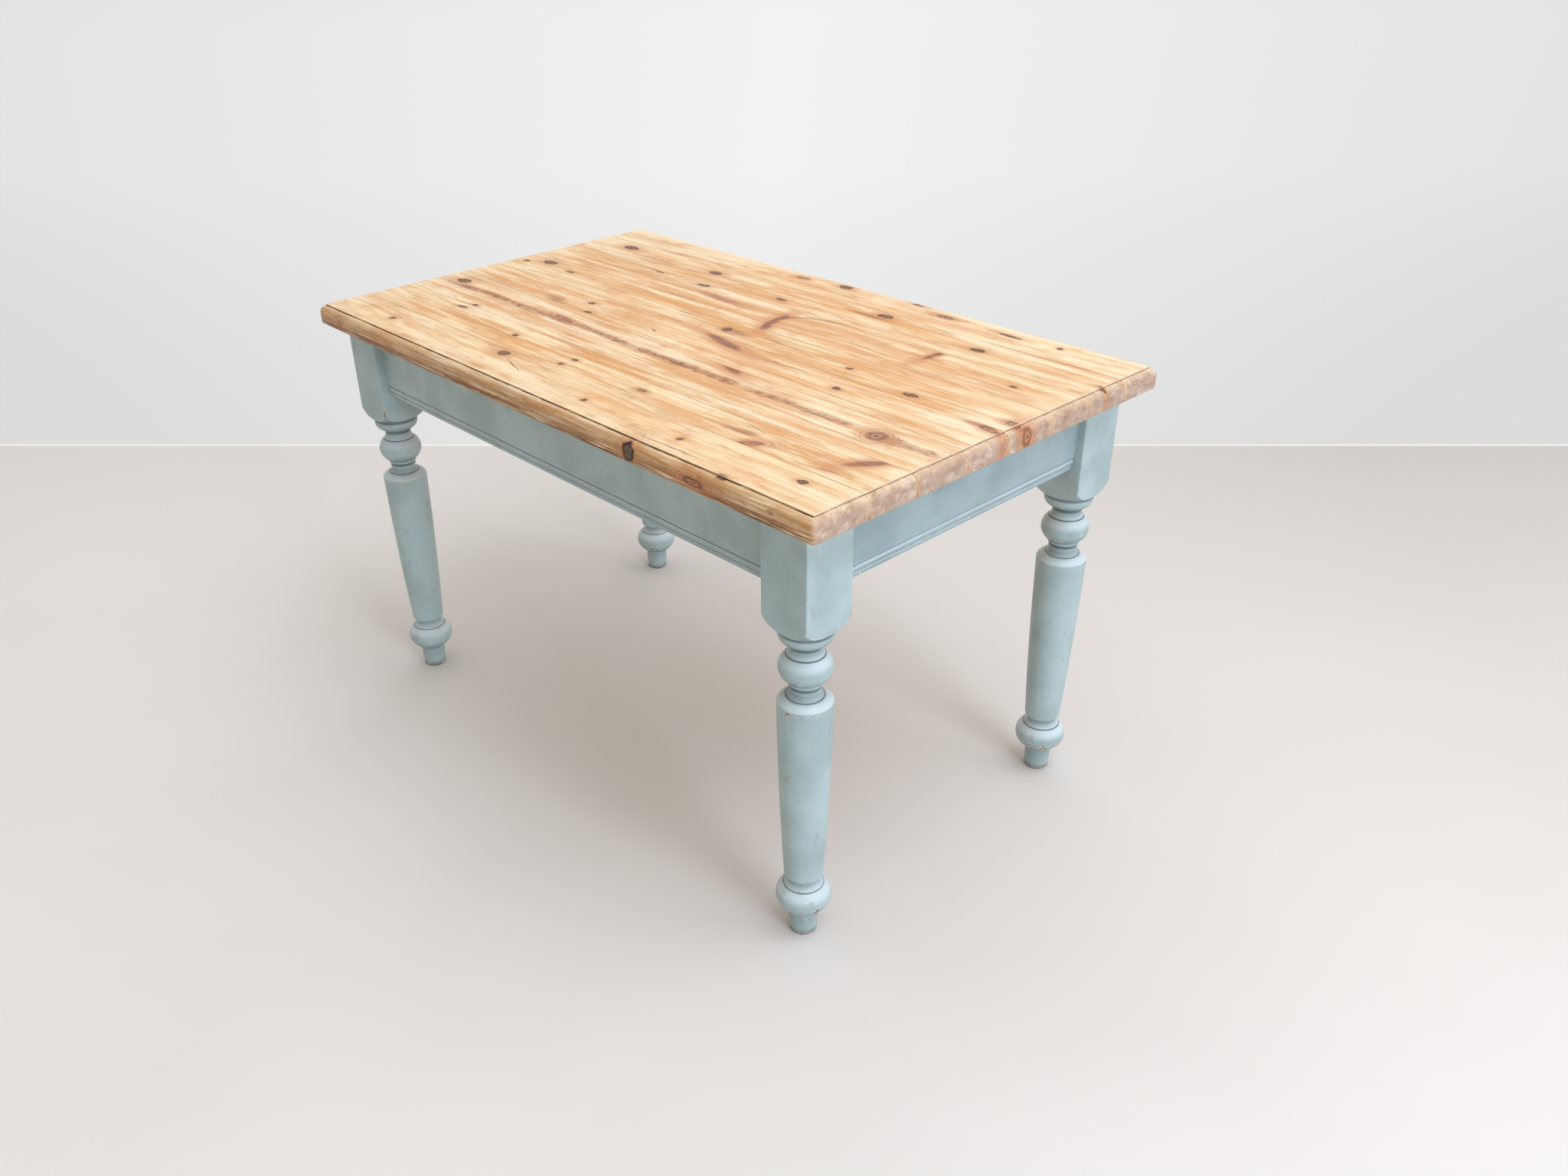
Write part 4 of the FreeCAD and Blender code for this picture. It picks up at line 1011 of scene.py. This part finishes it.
def makeInside(s):
    for place in ("left", "middle", "right"):
        for kind in ("runner", "guide", "kicker"):
            easedCopy("%s_%s" % (kind, place), "frame", [bareAlongY], s["ease"])
    rearRail = partial(facesRear, s["railFace"], 0.5)
    easedCopy("drawer_rail_top", "frame", [bareAlongX, paintAlongX], s["ease"], rearRail)
    easedCopy("drawer_divider", "frame", [bareUpright, paintUpright], s["ease"], rearRail)
    easedCopy("drawer_stops", "frame", [bareAlongX], s["ease"])
    easedCopy("top_buttons", "frame", [bareAlongY], s["buttonEase"])
    for body in ("drawer_left", "drawer_right"):
        easedCopy(body + "_front", body, [bareAlongX, paintAlongX], s["ease"],
                  partial(facesRear, s["drawerFace"], 0.3))
        for part, material in (("side_outer", bareAlongY), ("side_inner", bareAlongY), ("back", bareAlongX),
                               ("bottom", bareAlongX)):
            easedCopy("%s_%s" % (body, part), body, [material], s["drawerEase"])


makeInside(easedSet)
print("drawers and runners eased")


knobSet = dict(x=263.0, y=336.0, z=681.0, radius=17.0, out=27.0, base=10.5, waist=8.0, cap=11.0, rim=2.0,
               waistRound=2.0, peg=6.0, pegDeep=19.0, around=48)
knobPine = pineMaterial("waxed_pine_turned_knob", dict(
    pineTones, pale="#E2AE6C", warm="#CC8F4E", late="#96602F", turn=(0, 0, -quarterTurn), seed=21.0,
    heart=(0, 640), tilt=(0.0, 0.0), ringWidth=3.4, rough=(0.30, 0.42), crackFrom=0.75))


def makeKnobs(s):
    # point(u, t): the outline (radius, distance out) turned about the knob's axis
    dome = s["cap"] - s["rim"]
    chord = math.hypot(s["radius"], dome)
    curve = chord ** 2 / (2 * dome)
    neck = s["out"] - s["cap"]
    section, edge = softened(outline(
        (0, s["out"]), (s["radius"], neck + s["rim"], math.sqrt(curve ** 2 - chord ** 2 / 4) - curve),
        (s["radius"] - s["rim"] / 2, neck), (s["waist"], neck / 2, s["waistRound"]),
        quarter(s["waist"], neck / 2, s["base"], s["rim"]), (s["base"], 0), (s["peg"], 0),
        (s["peg"], -s["pegDeep"]), (0, -s["pegDeep"])), 0.7)
    turn = np.linspace(0, 2 * math.pi, s["around"], endpoint=False)
    r, out = section[:, :1], section[:, 1:]
    for side, sign in (("left", -1), ("right", 1)):
        points = np.stack([sign * s["x"] + r * np.cos(turn), s["y"] + out + 0 * turn,
                           s["z"] + r * np.sin(turn)], -1)
        putPiece("turned_knob_" + side, points.reshape(-1, 3), gridQuads(*points.shape[:2]), [knobPine],
                 "drawer_" + side, ["drawer_%s_knob" % side],
                 values=dict(edge=np.repeat(edge, s["around"]) * 0.6))


makeKnobs(knobSet)
print("knobs turned")


# slotted screws that hold the top, seen from below
screwSet = dict(steel="#8C8A86", rust="#5E4A3C",
                radius=4.2, slot=0.6, slotDeep=0.9, dome=0.25, tall=1.6, along=15,
                places=[(-440, 306, 716), (-150, 306, 716), (150, 306, 716), (440, 306, 716)]
                + [(x, -300, 716) for x in (-400, -170, 170, 400)]
                + [(x, y, 716) for x in (-505, 0, 505) for y in (-190, 150)])


def screwSteel(name, s):
    # Steel screw heads, dulled by age. Brown rust spots give the eye small, uneven glints.
    material, n = newMaterial(name)
    spots = n("TexNoise", n("TexCoord", out=3), inputs={"Scale": 900.0, "Detail": 3.0})
    colour = layered(n, s, "steel", (n("MapRange", spots, 0.45, 0.62, 0, 1), "rust"))
    rough = n("MapRange", spots, 0.3, 0.7, 0.32, 0.6)
    shader = n("BsdfPrincipled", inputs={"Base Color": colour, "Metallic": 0.9, "Roughness": rough})
    n("OutputMaterial", shader)
    return material


def makeScrews(s):
    # Each head is a disc cut into straight strips: point(u, v) = radius * (u * sqrt(1 - v^2), v), with the
    # strip along the middle let in as the slot, and the rim carried up into the wood.
    lip, bottom = s["slot"] / s["radius"] + 0.01, s["slot"] / s["radius"] - 0.01
    v = np.array([-1, -0.93, -0.75, -0.5, -0.3, -lip, -bottom, bottom, lip, 0.3, 0.5, 0.75, 0.93, 1.0])
    inSlot = (np.abs(v) == bottom).astype(float)
    u = np.sin(np.linspace(-math.pi / 2, math.pi / 2, s["along"]))
    x = s["radius"] * u * np.sqrt(np.maximum(1 - v[:, None] ** 2, 0))
    y = s["radius"] * v[:, None] + 0 * u
    z = -s["dome"] * (1 - u ** 2) * (1 - v[:, None] ** 2) + s["slotDeep"] * inSlot[:, None]
    # each row runs across the head and back again inside the wood
    face, inWood = np.stack([x, y, z], -1), np.stack([x, y, 0 * x + s["tall"]], -1)
    rows = np.concatenate([face, inWood[:, ::-1]], 1)
    faces = gridQuads(*rows.shape[:2])
    one = rows.reshape(-1, 3)
    turns = np.linspace(0.2, 9.0, len(s["places"]))[:, None]
    px = one[:, 0] * np.cos(turns) - one[:, 1] * np.sin(turns)
    py = one[:, 0] * np.sin(turns) + one[:, 1] * np.cos(turns)
    places = np.array(s["places"], float)[:, None]
    points = np.stack([px + places[..., 0], py + places[..., 1], one[:, 2] + places[..., 2]], -1)
    allFaces = (faces[None] + (np.arange(len(places)) * len(one))[:, None, None]).reshape(-1, 4)
    putPiece("screw_heads", points.reshape(-1, 3), allFaces, [screwSteel("dulled_steel_screw", s)],
             "frame", [])


makeScrews(screwSet)
print("screws driven")
